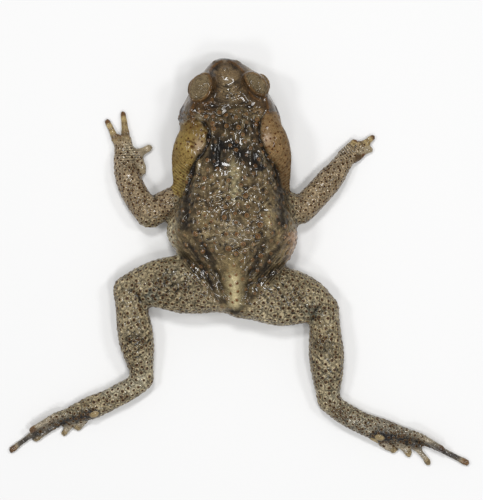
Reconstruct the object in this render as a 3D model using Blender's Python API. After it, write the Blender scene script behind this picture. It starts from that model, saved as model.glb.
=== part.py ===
"""Cane toad, life size, lying flat on its belly with all four legs drawn out.

The animal faces -Y, its own left side is +X and the floor it lies on is z = 0.
Lengths below are millimetres and are turned into metres where points are made.

The body is modelled whole: the trunk and head are one lofted form, and each limb,
finger and toe is a tapering form swept along a bowed line. All of them are fused
and softened into one skin, set down flat on the floor, and then parted by thin
plates at the neck, the mouth and every joint. The eyeballs and the two big neck
glands are solids of their own, set in sockets of the body.
"""

import math

import bmesh
import bpy
from mathutils import Matrix, Vector
from mathutils.bvhtree import BVHTree

MM = 0.001

# Driving sizes, in millimetres.
GAP = 0.3                    # clearance between neighbouring pieces
SKIN_CELL = 0.8              # cell size at which the fused forms are skinned
SKIN_TRIANGLES = 4800        # triangles kept on the whole body before it is parted
SINK = 0.3                   # how far the underside is pressed below the floor plane
FLOOR_BLOCK = (300.0, 300.0, 20.0)
FRAME_SHIFT = (0.15, 0.0)    # brings the middle of the whole outline to x = y = 0
EYE_RADIUS = 4.9
EYE_CENTRES = {"left": (18.1, -80.5, 18.0), "right": (-8.9, -82.2, 18.0)}
LID_OPENING = (4.4, 5.0, 2.9)           # radii of the hollow that opens the lids
LID_OPENING_PLACE = (4.9, -0.4, -0.4)   # from the eye's centre: outwards, backwards, up
END_ROUNDING = 0.485         # half turns that a rounded end sweeps before it closes on a flat

# Cuts that part the body, in millimetres.
PLATE_HEIGHT = 36.0          # the parting plates run from under the floor to over the back
PLATE_MIDDLE = 17.0
NECK_Y = -62.0               # plane behind the jaw angle that parts head from trunk
NECK_X = 3.0
NECK_WIDTH = 62.0
MOUTH_HEIGHT = 6.4           # height of the mouth line above the floor
MOUTH_X = 4.5
MOUTH_LENGTH = 40.0

# Head and trunk from the snout to the vent:
# y, centre x, half width, top, height of the widest line, bottom, roundness of the top.
BODY_SECTIONS = (
    (-96.2, 7.2, 1.6, 10.2, 8.0, 5.6, 2.0),
    (-95.2, 7.0, 4.8, 12.8, 7.9, 3.2, 2.2),
    (-92.4, 6.2, 8.4, 15.6, 7.8, 1.4, 2.2),
    (-88.6, 4.9, 12.7, 18.4, 7.9, 0.0, 2.1),
    (-83.8, 4.6, 16.4, 20.8, 8.2, -0.6, 2.1),
    (-79.1, 4.6, 19.0, 22.2, 8.6, -0.7, 2.1),
    (-74.4, 4.6, 21.6, 23.2, 9.0, -0.7, 2.1),
    (-69.7, 4.6, 23.6, 24.2, 9.4, -0.7, 2.15),
    (-65.0, 4.0, 24.2, 25.2, 10.0, -0.7, 2.25),
    (-60.2, 2.9, 23.4, 26.0, 10.6, -0.7, 2.35),
    (-52.7, 2.4, 23.4, 27.0, 11.2, -0.7, 2.4),
    (-43.3, 2.6, 23.6, 28.0, 11.6, -0.7, 2.5),
    (-33.9, 2.8, 24.6, 28.9, 11.4, -0.7, 2.5),
    (-26.9, 2.9, 26.6, 29.7, 11.0, -0.7, 2.5),
    (-19.8, 3.1, 29.9, 30.2, 10.4, -0.7, 2.4),
    (-14.2, 3.2, 31.0, 29.6, 10.0, -0.7, 2.3),
    (-9.5, 2.6, 30.3, 28.4, 10.0, -0.7, 2.2),
    (-4.8, 1.6, 27.6, 27.0, 10.0, -0.7, 2.1),
    (0.0, 0.9, 23.8, 25.4, 10.0, -0.7, 2.0),
    (6.1, 0.8, 18.0, 22.6, 10.0, -0.6, 1.9),
    (13.1, 1.0, 12.4, 19.0, 9.6, -0.4, 1.8),
    (17.8, 1.0, 9.6, 16.4, 9.2, 0.2, 1.8),
    (21.8, 0.9, 7.4, 14.0, 8.8, 1.6, 1.8),
    (25.0, 0.8, 4.4, 11.4, 8.0, 4.2, 2.0),
)
BELLY_ROUNDNESS = 2.8

# Girths along each limb part, the same on both sides of the animal:
# share of the length, half width, half height.
UPPER_ARM_GIRTH = ((0.0, 6.4, 6.4), (0.5, 6.5, 6.6), (1.0, 7.0, 6.8))
FOREARM_GIRTH = (
    (0.0, 6.8, 6.6), (0.2, 6.6, 6.4), (0.6, 6.5, 5.9), (0.8, 5.7, 5.0), (1.0, 4.8, 4.0),
)
HAND_GIRTH = ((0.0, 4.7, 3.8), (0.5, 5.1, 3.3), (1.0, 4.2, 2.9))
THIGH_GIRTH = (
    (0.0, 9.4, 9.0), (0.2, 12.8, 10.4), (0.37, 14.1, 10.4), (0.54, 13.4, 9.9),
    (0.71, 11.5, 9.0), (0.85, 9.7, 8.2), (1.0, 7.7, 7.6),
)
SHANK_GIRTH = (
    (0.0, 7.5, 7.4), (0.2, 7.8, 7.8), (0.42, 8.7, 8.0), (0.6, 8.3, 7.6),
    (0.76, 7.2, 6.6), (0.88, 6.2, 5.6), (1.0, 5.6, 5.0),
)
TARSUS_GIRTH = (
    (0.0, 5.2, 5.0), (0.2, 5.6, 4.9), (0.42, 5.5, 4.7), (0.64, 6.0, 4.6),
    (0.8, 5.2, 4.2), (0.9, 4.4, 3.8), (1.0, 3.2, 3.2),
)

# Each limb part runs from its start through a middle point to its end.
LIMB_PARTS = {
    "upper_arm_left": (
        ((22.9, -31.6, 11.0), (32.8, -28.4, 9.0), (41.6, -22.6, 6.4)), UPPER_ARM_GIRTH,
    ),
    "upper_arm_right": (
        ((-17.5, -31.0, 11.0), (-23.2, -27.0, 9.0), (-28.9, -24.2, 6.4)), UPPER_ARM_GIRTH,
    ),
    "forearm_left": (((42.0, -22.4, 6.2), (50.6, -35.3, 5.6), (55.0, -49.2, 3.6)), FOREARM_GIRTH),
    "forearm_right": (((-29.6, -24.6, 6.2), (-41.0, -36.5, 5.6), (-49.6, -47.6, 3.6)), FOREARM_GIRTH),
    "hand_left": (((54.4, -49.2, 3.4), (54.3, -53.5, 2.9), (54.1, -56.9, 2.5)), HAND_GIRTH),
    "hand_right": (((-49.6, -47.8, 3.4), (-51.7, -50.4, 2.9), (-53.6, -52.6, 2.5)), HAND_GIRTH),
    "thigh_left": (((5.0, 15.2, 9.6), (30.0, 10.1, 9.4), (52.0, 13.4, 7.2)), THIGH_GIRTH),
    "thigh_right": (((-0.6, 17.6, 9.6), (-24.6, 16.7, 9.4), (-40.2, 22.4, 7.2)), THIGH_GIRTH),
    "shank_left": (((51.7, 15.0, 6.9), (48.5, 34.8, 7.2), (45.3, 55.8, 4.6)), SHANK_GIRTH),
    "shank_right": (((-40.3, 25.2, 6.9), (-41.4, 45.2, 7.2), (-42.4, 66.1, 4.6)), SHANK_GIRTH),
    "tarsus_left": (((46.2, 56.6, 4.6), (63.8, 66.4, 4.3), (82.2, 72.8, 2.9)), TARSUS_GIRTH),
    "tarsus_right": (((-43.6, 67.1, 4.6), (-61.1, 77.3, 4.3), (-80.6, 81.9, 2.9)), TARSUS_GIRTH),
}

# Fingers and toes, numbered from the inner side out: start, middle, tip, root and tip radius.
DIGITS = {
    "finger_1_left": ((48.4, -49.6, 2.6), (45.8, -46.6, 2.1), (45.4, -42.2, 1.6), 2.0, 1.75),
    "finger_2_left": ((50.1, -50.7, 2.8), (45.8, -52.4, 2.2), (42.1, -54.3, 1.7), 2.2, 1.85),
    "finger_3_left": ((53.1, -54.9, 2.6), (53.9, -63.0, 2.0), (55.0, -70.8, 1.4), 2.1, 1.65),
    "finger_4_left": ((57.2, -54.9, 2.6), (59.8, -61.6, 2.0), (62.5, -66.9, 1.4), 2.1, 1.65),
    "finger_1_right": ((-52.2, -53.0, 3.2), (-53.8, -55.8, 3.0), (-54.8, -57.6, 2.8), 2.0, 1.65),
    "finger_2_right": ((-55.0, -54.2, 2.6), (-59.6, -56.3, 2.2), (-63.9, -59.3, 1.6), 2.0, 1.65),
    "finger_3_right": ((-55.0, -52.4, 2.6), (-59.8, -52.9, 2.0), (-63.1, -53.2, 1.4), 1.9, 1.65),
    "finger_4_right": ((-53.6, -48.8, 2.6), (-56.5, -49.3, 2.0), (-58.6, -50.6, 1.5), 2.0, 1.65),
    "toe_1_left": ((72.3, 73.8, 2.6), (74.0, 76.3, 2.0), (75.6, 78.1, 1.4), 1.8, 1.6),
    "toe_2_left": ((77.5, 74.3, 2.6), (80.0, 77.7, 2.0), (82.4, 80.4, 1.4), 1.8, 1.6),
    "toe_3_left": ((82.7, 74.3, 2.6), (89.5, 79.2, 1.8), (95.4, 83.4, 1.4), 1.9, 1.55),
    "toe_4_left": ((85.6, 73.0, 2.4), (96.2, 80.4, 1.7), (107.3, 88.8, 1.3), 2.1, 1.55),
    "toe_5_left": ((83.3, 71.2, 5.8), (90.2, 74.6, 6.0), (96.9, 78.9, 5.6), 1.9, 1.55),
    "toe_1_right": ((-66.4, 84.2, 2.6), (-69.3, 87.2, 2.0), (-72.9, 88.8, 1.4), 1.8, 1.6),
    "toe_2_right": ((-73.0, 84.2, 2.6), (-77.4, 87.6, 2.0), (-79.9, 90.6, 1.4), 1.8, 1.6),
    "toe_3_right": ((-80.1, 84.2, 2.6), (-85.9, 89.8, 1.8), (-89.3, 94.6, 1.4), 1.9, 1.55),
    "toe_4_right": ((-84.4, 82.8, 2.4), (-96.8, 89.4, 1.7), (-107.4, 94.9, 1.3), 2.1, 1.55),
    "toe_5_right": ((-81.4, 80.6, 5.8), (-89.0, 84.0, 6.0), (-95.4, 88.0, 5.6), 1.9, 1.55),
}

# The neck glands: front, middle and rear point, and the girth along them.
GLANDS = {
    "left": ((19.2, -65.4, 18.6), (22.9, -51.2, 17.0), (27.4, -35.6, 10.8)),
    "right": ((-11.8, -66.4, 18.6), (-16.1, -53.0, 17.0), (-20.6, -35.4, 10.8)),
}
GLAND_GIRTH = (
    (0.0, 4.6, 4.2), (0.18, 6.9, 6.6), (0.42, 8.2, 8.0),
    (0.66, 7.4, 7.4), (0.85, 5.4, 5.6), (1.0, 3.4, 3.6),
)

# Rounded swellings fused into the body: centre, radii and turn in plan.
SWELLINGS = (
    ((16.5, -80.6, 17.6), (7.2, 8.8, 7.8), -22.0),    # left eyelid and orbit
    ((-7.5, -81.4, 17.6), (7.0, 9.0, 7.8), 30.0),     # right eyelid and orbit
    ((17.0, -18.6, 24.6), (5.4, 10.0, 4.6), 0.0),     # left hip bump beside the backbone
    ((-12.6, -18.8, 24.6), (5.4, 10.0, 4.6), 0.0),    # right hip bump
)
TAIL_RIDGE = (
    ((0.9, -4.0, 23.4), (1.2, 10.0, 18.0), (1.4, 21.2, 11.6)), ((0.0, 2.0, 3.2), (1.0, 3.0, 3.4)),
)

# Ridges of the head: from the nostril to the brow, and from the orbit to the neck gland.
HEAD_RIDGES = (
    (
        ((10.0, -91.8, 10.8), (12.6, -87.4, 13.8), (15.0, -82.6, 16.8)),
        ((0.0, 3.4, 3.2), (1.0, 5.8, 6.2)),
    ),
    (
        ((2.8, -92.2, 10.8), (-1.2, -88.6, 13.8), (-5.2, -83.8, 16.8)),
        ((0.0, 3.4, 3.2), (1.0, 5.6, 6.2)),
    ),
    (
        ((16.2, -78.0, 16.6), (18.8, -70.0, 16.2), (20.2, -62.0, 16.6)),
        ((0.0, 7.2, 7.4), (1.0, 7.4, 8.4)),
    ),
    (
        ((-7.4, -79.0, 16.6), (-10.0, -71.0, 16.2), (-12.4, -63.0, 16.6)),
        ((0.0, 7.2, 7.4), (1.0, 7.4, 8.4)),
    ),
)

# Vertical parting plates: centre in plan, heading of the plate in degrees from +X, half length.
PARTING_PLATES = (
    ((31.6, -28.6), 79.4, 11.8),      # left shoulder
    ((-25.6, -27.6), 102.5, 11.6),    # right shoulder
    ((40.6, -24.6), 71.0, 11.4),      # left elbow
    ((-30.8, -26.0), 118.0, 10.6),    # right elbow
    ((50.9, -38.0), 8.0, 8.6),        # left wrist, behind the thumb
    ((-44.5, -41.2), -39.4, 8.2),     # right wrist
    ((18.9, 10.3), 136.0, 23.0),      # left hip
    ((-13.7, 13.6), 46.0, 20.4),      # right hip
    ((52.2, 15.4), -29.6, 13.4),      # left knee
    ((-39.5, 23.4), 45.0, 11.0),      # right knee
    ((46.1, 55.2), 147.5, 9.0),       # left ankle
    ((-43.1, 66.1), 18.4, 9.0),       # right ankle
    ((66.4, 67.2), 114.0, 8.0),       # left midfoot
    ((-63.8, 79.0), 69.6, 8.0),       # right midfoot
)

# Points inside the nodes once the body is parted: places, and shares of a limb part's length.
CORE_SEEDS = {
    "head": (4.6, -74.0, 12.0),
    "lower_jaw": (4.6, -78.0, 3.0),
    "trunk": (3.0, -20.0, 12.0),
}
LIMB_SEEDS = {"upper_arm": 0.85, "tarsus": 0.3, "foot": 0.75, "other": 0.4}

SKIN_COLOUR = (0.115, 0.085, 0.045)
GLAND_COLOUR = (0.23, 0.145, 0.055)
EYE_COLOUR = (0.16, 0.085, 0.015)


def remove_everything():
    for thing in list(bpy.data.objects):
        bpy.data.objects.remove(thing, do_unlink=True)


def along(rows, share):
    """Values of a table at a share of its length, on a smooth curve through its rows."""
    last = len(rows) - 1
    index = next((i for i in range(last) if share <= rows[i + 1][0]), last - 1)
    before, start = rows[max(index - 1, 0)], rows[index]
    end, after = rows[index + 1], rows[min(index + 2, last)]
    t = (share - start[0]) / (end[0] - start[0])
    values = []
    for column in range(1, len(start)):
        a, b, c, d = before[column], start[column], end[column], after[column]
        values.append(
            b + 0.5 * t * (c - a + t * (2 * a - 5 * b + 4 * c - d + t * (3 * (b - c) + d - a)))
        )
    return values


def bowed_line(points, t):
    """Point and direction at t on the curve through a start, a middle and an end point."""
    start, middle, end = (Vector(p) for p in points)
    place = start * (2 * t - 1) * (t - 1) + middle * 4 * t * (1 - t) + end * t * (2 * t - 1)
    heading = start * (4 * t - 3) + middle * (4 - 8 * t) + end * (4 * t - 1)
    return place, heading.normalized()


def close_rings(bm, rings):
    """Skin a row of vertex rings, and close its two ends with a cap each."""
    count = len(rings[0])
    for lower, upper in zip(rings, rings[1:]):
        for i in range(count):
            j = (i + 1) % count
            bm.faces.new((lower[i], lower[j], upper[j], upper[i]))
    bm.faces.new(rings[0])
    bm.faces.new(rings[-1])


def add_swept_form(bm, points, girth, swell=0.0, sides=18, steps=14, cap_steps=4):
    """A tapering round-ended form along a bowed line; swell widens it all over."""
    rings = []
    stations = [(0.0, -k / cap_steps) for k in range(cap_steps, 0, -1)]
    stations += [(k / steps, 0.0) for k in range(steps + 1)]
    stations += [(1.0, k / cap_steps) for k in range(1, cap_steps + 1)]
    for t, overrun in stations:
        place, heading = bowed_line(points, t)
        half_width, half_height = (value + swell for value in along(girth, t))
        angle = END_ROUNDING * math.pi * overrun
        place = place + heading * min(half_width, half_height) * math.sin(angle)
        side = heading.cross(Vector((0, 0, 1))).normalized() * half_width * math.cos(angle)
        rise = side.cross(heading).normalized() * half_height * math.cos(angle)
        rings.append([
            bm.verts.new((place + side * math.cos(a) + rise * math.sin(a)) * MM)
            for a in (2 * math.pi * k / sides for k in range(sides))
        ])
    close_rings(bm, rings)


def signed_power(value, power):
    return math.copysign(abs(value) ** power, value)


def add_body_form(bm, sides=40, steps=92):
    """The trunk and head, lofted through the body sections."""
    first, last = BODY_SECTIONS[0][0], BODY_SECTIONS[-1][0]
    rings = []
    for k in range(steps + 1):
        y = first + (last - first) * (1 - math.cos(math.pi * k / steps)) / 2
        centre, half, top, widest, bottom, roundness = along(BODY_SECTIONS, y)
        ring = []
        for i in range(sides):
            angle = 2 * math.pi * i / sides
            upper = math.sin(angle) > 0
            power = 2 / (roundness if upper else BELLY_ROUNDNESS)
            reach = top - widest if upper else widest - bottom
            ring.append(bm.verts.new(Vector((
                centre + half * signed_power(math.cos(angle), power),
                y,
                widest + reach * signed_power(math.sin(angle), power),
            )) * MM))
        rings.append(ring)
    close_rings(bm, rings)


def placed(centre, size, turn):
    """The matrix that stretches a unit form to its size, turns it in plan and moves it."""
    moved = Matrix.Translation(Vector(centre) * MM)
    return moved @ Matrix.Rotation(math.radians(turn), 4, "Z") @ Matrix.Diagonal((*size, 1.0))


def add_ball(bm, centre, radii, turn=0.0, rows=16, columns=24):
    bmesh.ops.create_uvsphere(
        bm, u_segments=columns, v_segments=rows, radius=MM, matrix=placed(centre, radii, turn)
    )


def add_block(bm, centre, size, turn=0.0):
    bmesh.ops.create_cube(bm, size=MM, matrix=placed(centre, size, turn))


def make_object(name, fill):
    """An object whose mesh is made by fill(bm), with all its faces pointing outwards."""
    bm = bmesh.new()
    fill(bm)
    bmesh.ops.recalc_face_normals(bm, faces=bm.faces)
    mesh = bpy.data.meshes.new(name)
    bm.to_mesh(mesh)
    bm.free()
    made = bpy.data.objects.new(name, mesh)
    bpy.context.scene.collection.objects.link(made)
    return made


def keep_modifiers(thing):
    """Replace an object's mesh with what its modifiers make of it."""
    bpy.context.view_layer.update()
    evaluated = thing.evaluated_get(bpy.context.evaluated_depsgraph_get())
    mesh = bpy.data.meshes.new_from_object(evaluated)
    thing.modifiers.clear()
    thing.data = mesh


def cut_away(thing, fill):
    """Take the form made by fill(bm) out of an object."""
    cutter = make_object("cutter", fill)
    cut = thing.modifiers.new("cut", "BOOLEAN")
    cut.operation = "DIFFERENCE"
    cut.solver = "EXACT"
    cut.object = cutter
    keep_modifiers(thing)
    bpy.data.objects.remove(cutter, do_unlink=True)


def digit_girth(root, tip):
    """A finger or toe: stout at the root, slimmer at the middle, with a blunt swollen tip."""
    return ((0.0, root, root), (0.7, tip * 0.92, tip * 0.92), (1.0, tip, tip))


def fused_body():
    """The whole animal without eyes and neck glands, as one softened skin on the floor."""
    def fill(bm):
        add_body_form(bm)
        for points, girth in LIMB_PARTS.values():
            add_swept_form(bm, points, girth)
        for start, middle, tip, root_radius, tip_radius in DIGITS.values():
            add_swept_form(bm, (start, middle, tip), digit_girth(root_radius, tip_radius), sides=14)
        for centre, radii, turn in SWELLINGS:
            add_ball(bm, centre, radii, turn)
        for ridge in (TAIL_RIDGE, *HEAD_RIDGES):
            add_swept_form(bm, *ridge)

    body = make_object("body", fill)
    skin = body.modifiers.new("skin", "REMESH")
    skin.mode = "VOXEL"
    skin.voxel_size = SKIN_CELL * MM
    keep_modifiers(body)
    soften = body.modifiers.new("soften", "SMOOTH")
    soften.factor = 0.5
    soften.iterations = 3
    keep_modifiers(body)
    triangles = sum(len(face.vertices) - 2 for face in body.data.polygons)
    thin = body.modifiers.new("thin", "DECIMATE")
    thin.ratio = SKIN_TRIANGLES / triangles
    keep_modifiers(body)
    under_floor = (0.0, 0.0, SINK - FLOOR_BLOCK[2] / 2)
    cut_away(body, lambda bm: add_block(bm, under_floor, FLOOR_BLOCK))
    return body


def part_body(body):
    """Set the sockets for the eyes and glands, and part the body at its joints."""
    for side, centre in EYE_CENTRES.items():
        outward = 1 if side == "left" else -1
        cut_away(body, lambda bm: add_ball(bm, centre, (EYE_RADIUS + GAP,) * 3, rows=8, columns=12))
        out, back, up = LID_OPENING_PLACE
        opening = (centre[0] + outward * out, centre[1] + back, centre[2] + up)
        cut_away(body, lambda bm: add_ball(bm, opening, LID_OPENING, rows=6, columns=10))
    for points in GLANDS.values():
        cut_away(body, lambda bm: add_swept_form(bm, points, GLAND_GIRTH, GAP, 12, 6, 2))
    for (x, y), heading, half_length in PARTING_PLATES:
        plate = ((x, y, PLATE_MIDDLE), (2 * half_length, GAP, PLATE_HEIGHT), heading)
        cut_away(body, lambda bm: add_block(bm, *plate))
    neck = ((NECK_X, NECK_Y, PLATE_MIDDLE), (NECK_WIDTH, GAP, PLATE_HEIGHT))
    cut_away(body, lambda bm: add_block(bm, *neck))
    mouth_middle = (MOUTH_X, NECK_Y - MOUTH_LENGTH / 2, MOUTH_HEIGHT)
    cut_away(body, lambda bm: add_block(bm, mouth_middle, (NECK_WIDTH, MOUTH_LENGTH, GAP)))


def encloses(tree, point):
    """True where a point lies inside a closed mesh, by counting the walls above it."""
    ray = Vector((0.013, 0.029, 1.0)).normalized()
    start = point.copy()
    walls = 0
    while True:
        hit, _, _, _ = tree.ray_cast(start, ray)
        if hit is None:
            return walls % 2 == 1
        walls += 1
        start = hit + ray * 1e-6


def node_seeds():
    """A point inside each node of the parted body; the foot takes the end of the tarsus form."""
    points = {name: Vector(place) for name, place in CORE_SEEDS.items()}
    for name, (line, _) in LIMB_PARTS.items():
        part, side = name.rsplit("_", 1)
        points[name] = bowed_line(line, LIMB_SEEDS.get(part, LIMB_SEEDS["other"]))[0]
        if part == "tarsus":
            points["foot_" + side] = bowed_line(line, LIMB_SEEDS["foot"])[0]
    return points


def connected_pieces(mesh):
    """The separate closed pieces of a mesh, each as a new bmesh."""
    whole = bmesh.new()
    whole.from_mesh(mesh)
    left = set(whole.faces)
    while left:
        piece = {left.pop()}
        edge_of_piece = list(piece)
        while edge_of_piece:
            face = edge_of_piece.pop()
            for edge in face.edges:
                for neighbour in edge.link_faces:
                    if neighbour in left:
                        left.remove(neighbour)
                        piece.add(neighbour)
                        edge_of_piece.append(neighbour)
        part = bmesh.new()
        copies = {}
        for face in piece:
            for vert in face.verts:
                if vert not in copies:
                    copies[vert] = part.verts.new(vert.co)
            part.faces.new([copies[vert] for vert in face.verts])
        yield part
    whole.free()


def make_material(name, colour, roughness):
    material = bpy.data.materials.new(name)
    material.use_nodes = True
    surface = material.node_tree.nodes["Principled BSDF"]
    surface.inputs["Base Color"].default_value = (*colour, 1.0)
    surface.inputs["Roughness"].default_value = roughness
    surface.inputs["Metallic"].default_value = 0.0
    return material


def finish(thing, material):
    """Move a piece into the final frame, and give it its material and its smooth shading."""
    thing.data.transform(Matrix.Translation(Vector((*FRAME_SHIFT, -SINK)) * MM))
    thing.data.materials.clear()
    thing.data.materials.append(material)
    thing.data.shade_smooth()
    thing.data.set_sharp_from_angle(angle=math.radians(50))


def name_nodes(body, skin):
    """Turn the pieces of the parted body into one named object each."""
    seeds = node_seeds()
    for piece in connected_pieces(body.data):
        tree = BVHTree.FromBMesh(piece)
        names = [name for name, seed in seeds.items() if encloses(tree, seed * MM)]
        if names:
            mesh = bpy.data.meshes.new(names[0])
            bmesh.ops.triangulate(piece, faces=piece.faces)
            piece.to_mesh(mesh)
            node = bpy.data.objects.new(names[0], mesh)
            bpy.context.scene.collection.objects.link(node)
            finish(node, skin)
        piece.free()
    bpy.data.objects.remove(body, do_unlink=True)


remove_everything()
skin_material = make_material("toad_skin", SKIN_COLOUR, 0.35)
gland_material = make_material("gland_skin", GLAND_COLOUR, 0.4)
eye_material = make_material("eyeball", EYE_COLOUR, 0.06)

whole_body = fused_body()
part_body(whole_body)
name_nodes(whole_body, skin_material)
for side_name, line in GLANDS.items():
    gland = make_object(
        "parotoid_" + side_name, lambda bm: add_swept_form(bm, line, GLAND_GIRTH, 0.0, 12, 6, 2)
    )
    finish(gland, gland_material)
for side_name, eye_centre in EYE_CENTRES.items():
    eye = make_object(
        "eye_" + side_name, lambda bm: add_ball(bm, eye_centre, (EYE_RADIUS,) * 3, rows=8, columns=12)
    )
    finish(eye, eye_material)
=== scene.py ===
import math

import bpy
import numpy as np
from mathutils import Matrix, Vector
from mathutils.kdtree import KDTree


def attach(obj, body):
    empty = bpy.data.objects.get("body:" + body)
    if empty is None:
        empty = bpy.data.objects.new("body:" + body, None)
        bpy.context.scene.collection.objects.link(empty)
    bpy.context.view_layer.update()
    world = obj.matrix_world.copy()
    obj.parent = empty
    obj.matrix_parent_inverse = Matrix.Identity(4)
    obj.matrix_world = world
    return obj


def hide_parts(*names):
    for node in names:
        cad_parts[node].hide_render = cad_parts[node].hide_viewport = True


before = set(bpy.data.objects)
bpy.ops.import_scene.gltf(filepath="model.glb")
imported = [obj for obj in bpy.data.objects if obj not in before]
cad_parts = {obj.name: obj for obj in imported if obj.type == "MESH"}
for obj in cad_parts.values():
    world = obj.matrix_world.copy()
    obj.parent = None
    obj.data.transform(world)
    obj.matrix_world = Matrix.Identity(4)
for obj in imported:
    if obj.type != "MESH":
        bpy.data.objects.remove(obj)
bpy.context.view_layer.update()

# ---------------------------------------------------------------------------
# Viewpoint. The toad is seen from straight above, as on a museum's record table,
# with its snout at the top of the picture and its own left side at the left.
MM = 0.001
CAMERA_PLACE = np.array((-1.15, -5.7, 900.0))   # millimetres
PIXEL_ON_FLOOR = 0.475                          # millimetres of floor in one pixel
PICTURE_WIDTH = 483                             # pixels
bpy.ops.object.camera_add(location=CAMERA_PLACE * MM, rotation=(0, 0, math.pi))
camera = bpy.context.object
camera.name = "camera_above"
camera.data.sensor_fit = "HORIZONTAL"
camera.data.sensor_width = 36.0
camera.data.lens = 36.0 * CAMERA_PLACE[2] / (PICTURE_WIDTH * PIXEL_ON_FLOOR)
camera.data.clip_start = 0.01
camera.data.clip_end = 20.0
bpy.context.scene.camera = camera


def in_plan(points):
    """Where points in millimetres lie in plan as seen from above, from the middle of the view."""
    return (points[:, :2] - CAMERA_PLACE[:2]) / (1 - points[:, 2:3] / CAMERA_PLACE[2])


# ---------------------------------------------------------------------------
# Skin. A toad's skin is one loose moist hide over the whole body, from the lips to the
# toes. It starts as all the flesh of the model, closed up into a single even shell.
CUT_WIDTH = 0.3          # the thin cuts between the CAD parts
GROWN, EYES_GROWN = 1.2 * CUT_WIDTH, 1.6 * CUT_WIDTH   # how far the parts grow over the cuts
SHELL_CELL = 0.9         # size of the shell's faces before they are divided
SHELL_ROUNDS, HEAD_ROUNDS = 30, 3                      # of evening out facets
HEAD_END = -62.0         # the head in front of this is divided once more
HEAD_BASE = 3.0          # and above this height
SKIN_DEPTH = 0.25        # how far the skin lies inside the CAD outline, under its warts


def numbers(source, what, width):
    """A property of all the vertices or faces of a mesh, as rows of numbers."""
    values = np.empty(len(source) * width)
    source.foreach_get(what, values)
    return values.reshape(-1, width)


eye_nodes = ("eye_left", "eye_right")
bpy.ops.object.select_all(action="DESELECT")
flesh = []
for name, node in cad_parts.items():
    grown = EYES_GROWN if name in eye_nodes else GROWN
    part = bpy.data.objects.new("flesh_" + name, node.data.copy())
    bpy.context.collection.objects.link(part)
    bpy.context.view_layer.objects.active = part
    part.select_set(True)
    bpy.ops.object.mode_set(mode="EDIT")
    bpy.ops.mesh.select_all(action="SELECT")
    bpy.ops.mesh.remove_doubles(threshold=1e-6)
    bpy.ops.object.mode_set(mode="OBJECT")
    places = numbers(part.data.vertices, "co", 3)
    outward = numbers(part.data.vertex_normals, "vector", 3)
    part.data.vertices.foreach_set("co", (places + outward * grown * MM).ravel())
    part.select_set(False)
    flesh.append(part)
for part in flesh:
    part.select_set(True)
bpy.context.view_layer.objects.active = flesh[0]
bpy.ops.object.join()
skin = bpy.context.object
skin.name = skin.data.name = "skin"
skin.data.materials.clear()
close_up = skin.modifiers.new("close_up", "REMESH")
close_up.mode = "VOXEL"
close_up.voxel_size = SHELL_CELL * MM
bpy.ops.object.modifier_apply(modifier=close_up.name)


def smooth_evenly(mesh, rounds, give=0.5, take=0.52):
    """Even out facets and keep the volume: pull each point to its neighbours, then push back."""
    places = numbers(mesh.vertices, "co", 3)
    pairs = np.empty(len(mesh.edges) * 2, dtype=np.int32)
    mesh.edges.foreach_get("vertices", pairs)
    a, b = pairs[0::2], pairs[1::2]
    count = np.bincount(a, minlength=len(places)) + np.bincount(b, minlength=len(places))
    for _ in range(rounds):
        for step in (give, -take):
            middle = np.empty_like(places)
            for axis in range(3):
                values = places[:, axis]
                middle[:, axis] = (
                    np.bincount(a, weights=values[b], minlength=len(places))
                    + np.bincount(b, weights=values[a], minlength=len(places))
                ) / count
            places += step * (middle - places)
    mesh.vertices.foreach_set("co", places.ravel())
    mesh.update()


smooth_evenly(skin.data, SHELL_ROUNDS)
divide = skin.modifiers.new("divide", "SUBSURF")
divide.levels = divide.render_levels = 1
bpy.ops.object.modifier_apply(modifier=divide.name)
middles = numbers(skin.data.polygons, "center", 3) / MM
bpy.ops.object.mode_set(mode="EDIT")
bpy.ops.mesh.select_mode(type="FACE")
bpy.ops.mesh.select_all(action="DESELECT")
bpy.ops.object.mode_set(mode="OBJECT")
skin.data.polygons.foreach_set("select", (middles[:, 1] < HEAD_END) & (middles[:, 2] > HEAD_BASE))
bpy.ops.object.mode_set(mode="EDIT")
bpy.ops.mesh.subdivide(number_cuts=1)
bpy.ops.object.mode_set(mode="OBJECT")
smooth_evenly(skin.data, HEAD_ROUNDS)
bpy.ops.object.shade_smooth()
spots = numbers(skin.data.vertices, "co", 3) / MM
facing = numbers(skin.data.vertex_normals, "vector", 3)


def settle():
    """Write the modelled places back to the skin, and read the directions it then faces."""
    global facing
    spots[:, 2] = np.maximum(spots[:, 2], 0.0)
    skin.data.vertices.foreach_set("co", (spots * MM).ravel())
    skin.data.update()
    facing = numbers(skin.data.vertex_normals, "vector", 3)


def ramp(values, low, high):
    """0 below low, 1 above high, and a smooth rise between them."""
    t = np.clip((values - low) / (high - low), 0, 1)
    return t * t * (3 - 2 * t)


def eased(line):
    """A line of points with its corners cut off twice, so that it bends smoothly."""
    line = np.array(line, dtype=float)
    for _ in range(2):
        inner = np.empty((2 * len(line) - 2, line.shape[1]))
        inner[0::2] = 0.75 * line[:-1] + 0.25 * line[1:]
        inner[1::2] = 0.25 * line[:-1] + 0.75 * line[1:]
        line = np.vstack((line[:1], inner, line[-1:]))
    return line


def off_line(places, line):
    """Distance of each place from a line of points, and how far along the line it is, 0 to 1."""
    lengths = np.linalg.norm(np.diff(line, axis=0), axis=1)
    total = lengths.sum()
    best = np.full(len(places), 1e9)
    share = np.zeros(len(places))
    run = 0.0
    for start, end, length in zip(line, line[1:], lengths):
        t = np.clip(((places - start) @ (end - start)) / length ** 2, 0, 1)
        gap = np.linalg.norm(places - start - t[:, None] * (end - start), axis=1)
        nearer = gap < best
        best = np.where(nearer, gap, best)
        share = np.where(nearer, (run + t * length) / total, share)
        run += length
    return best, share


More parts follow.
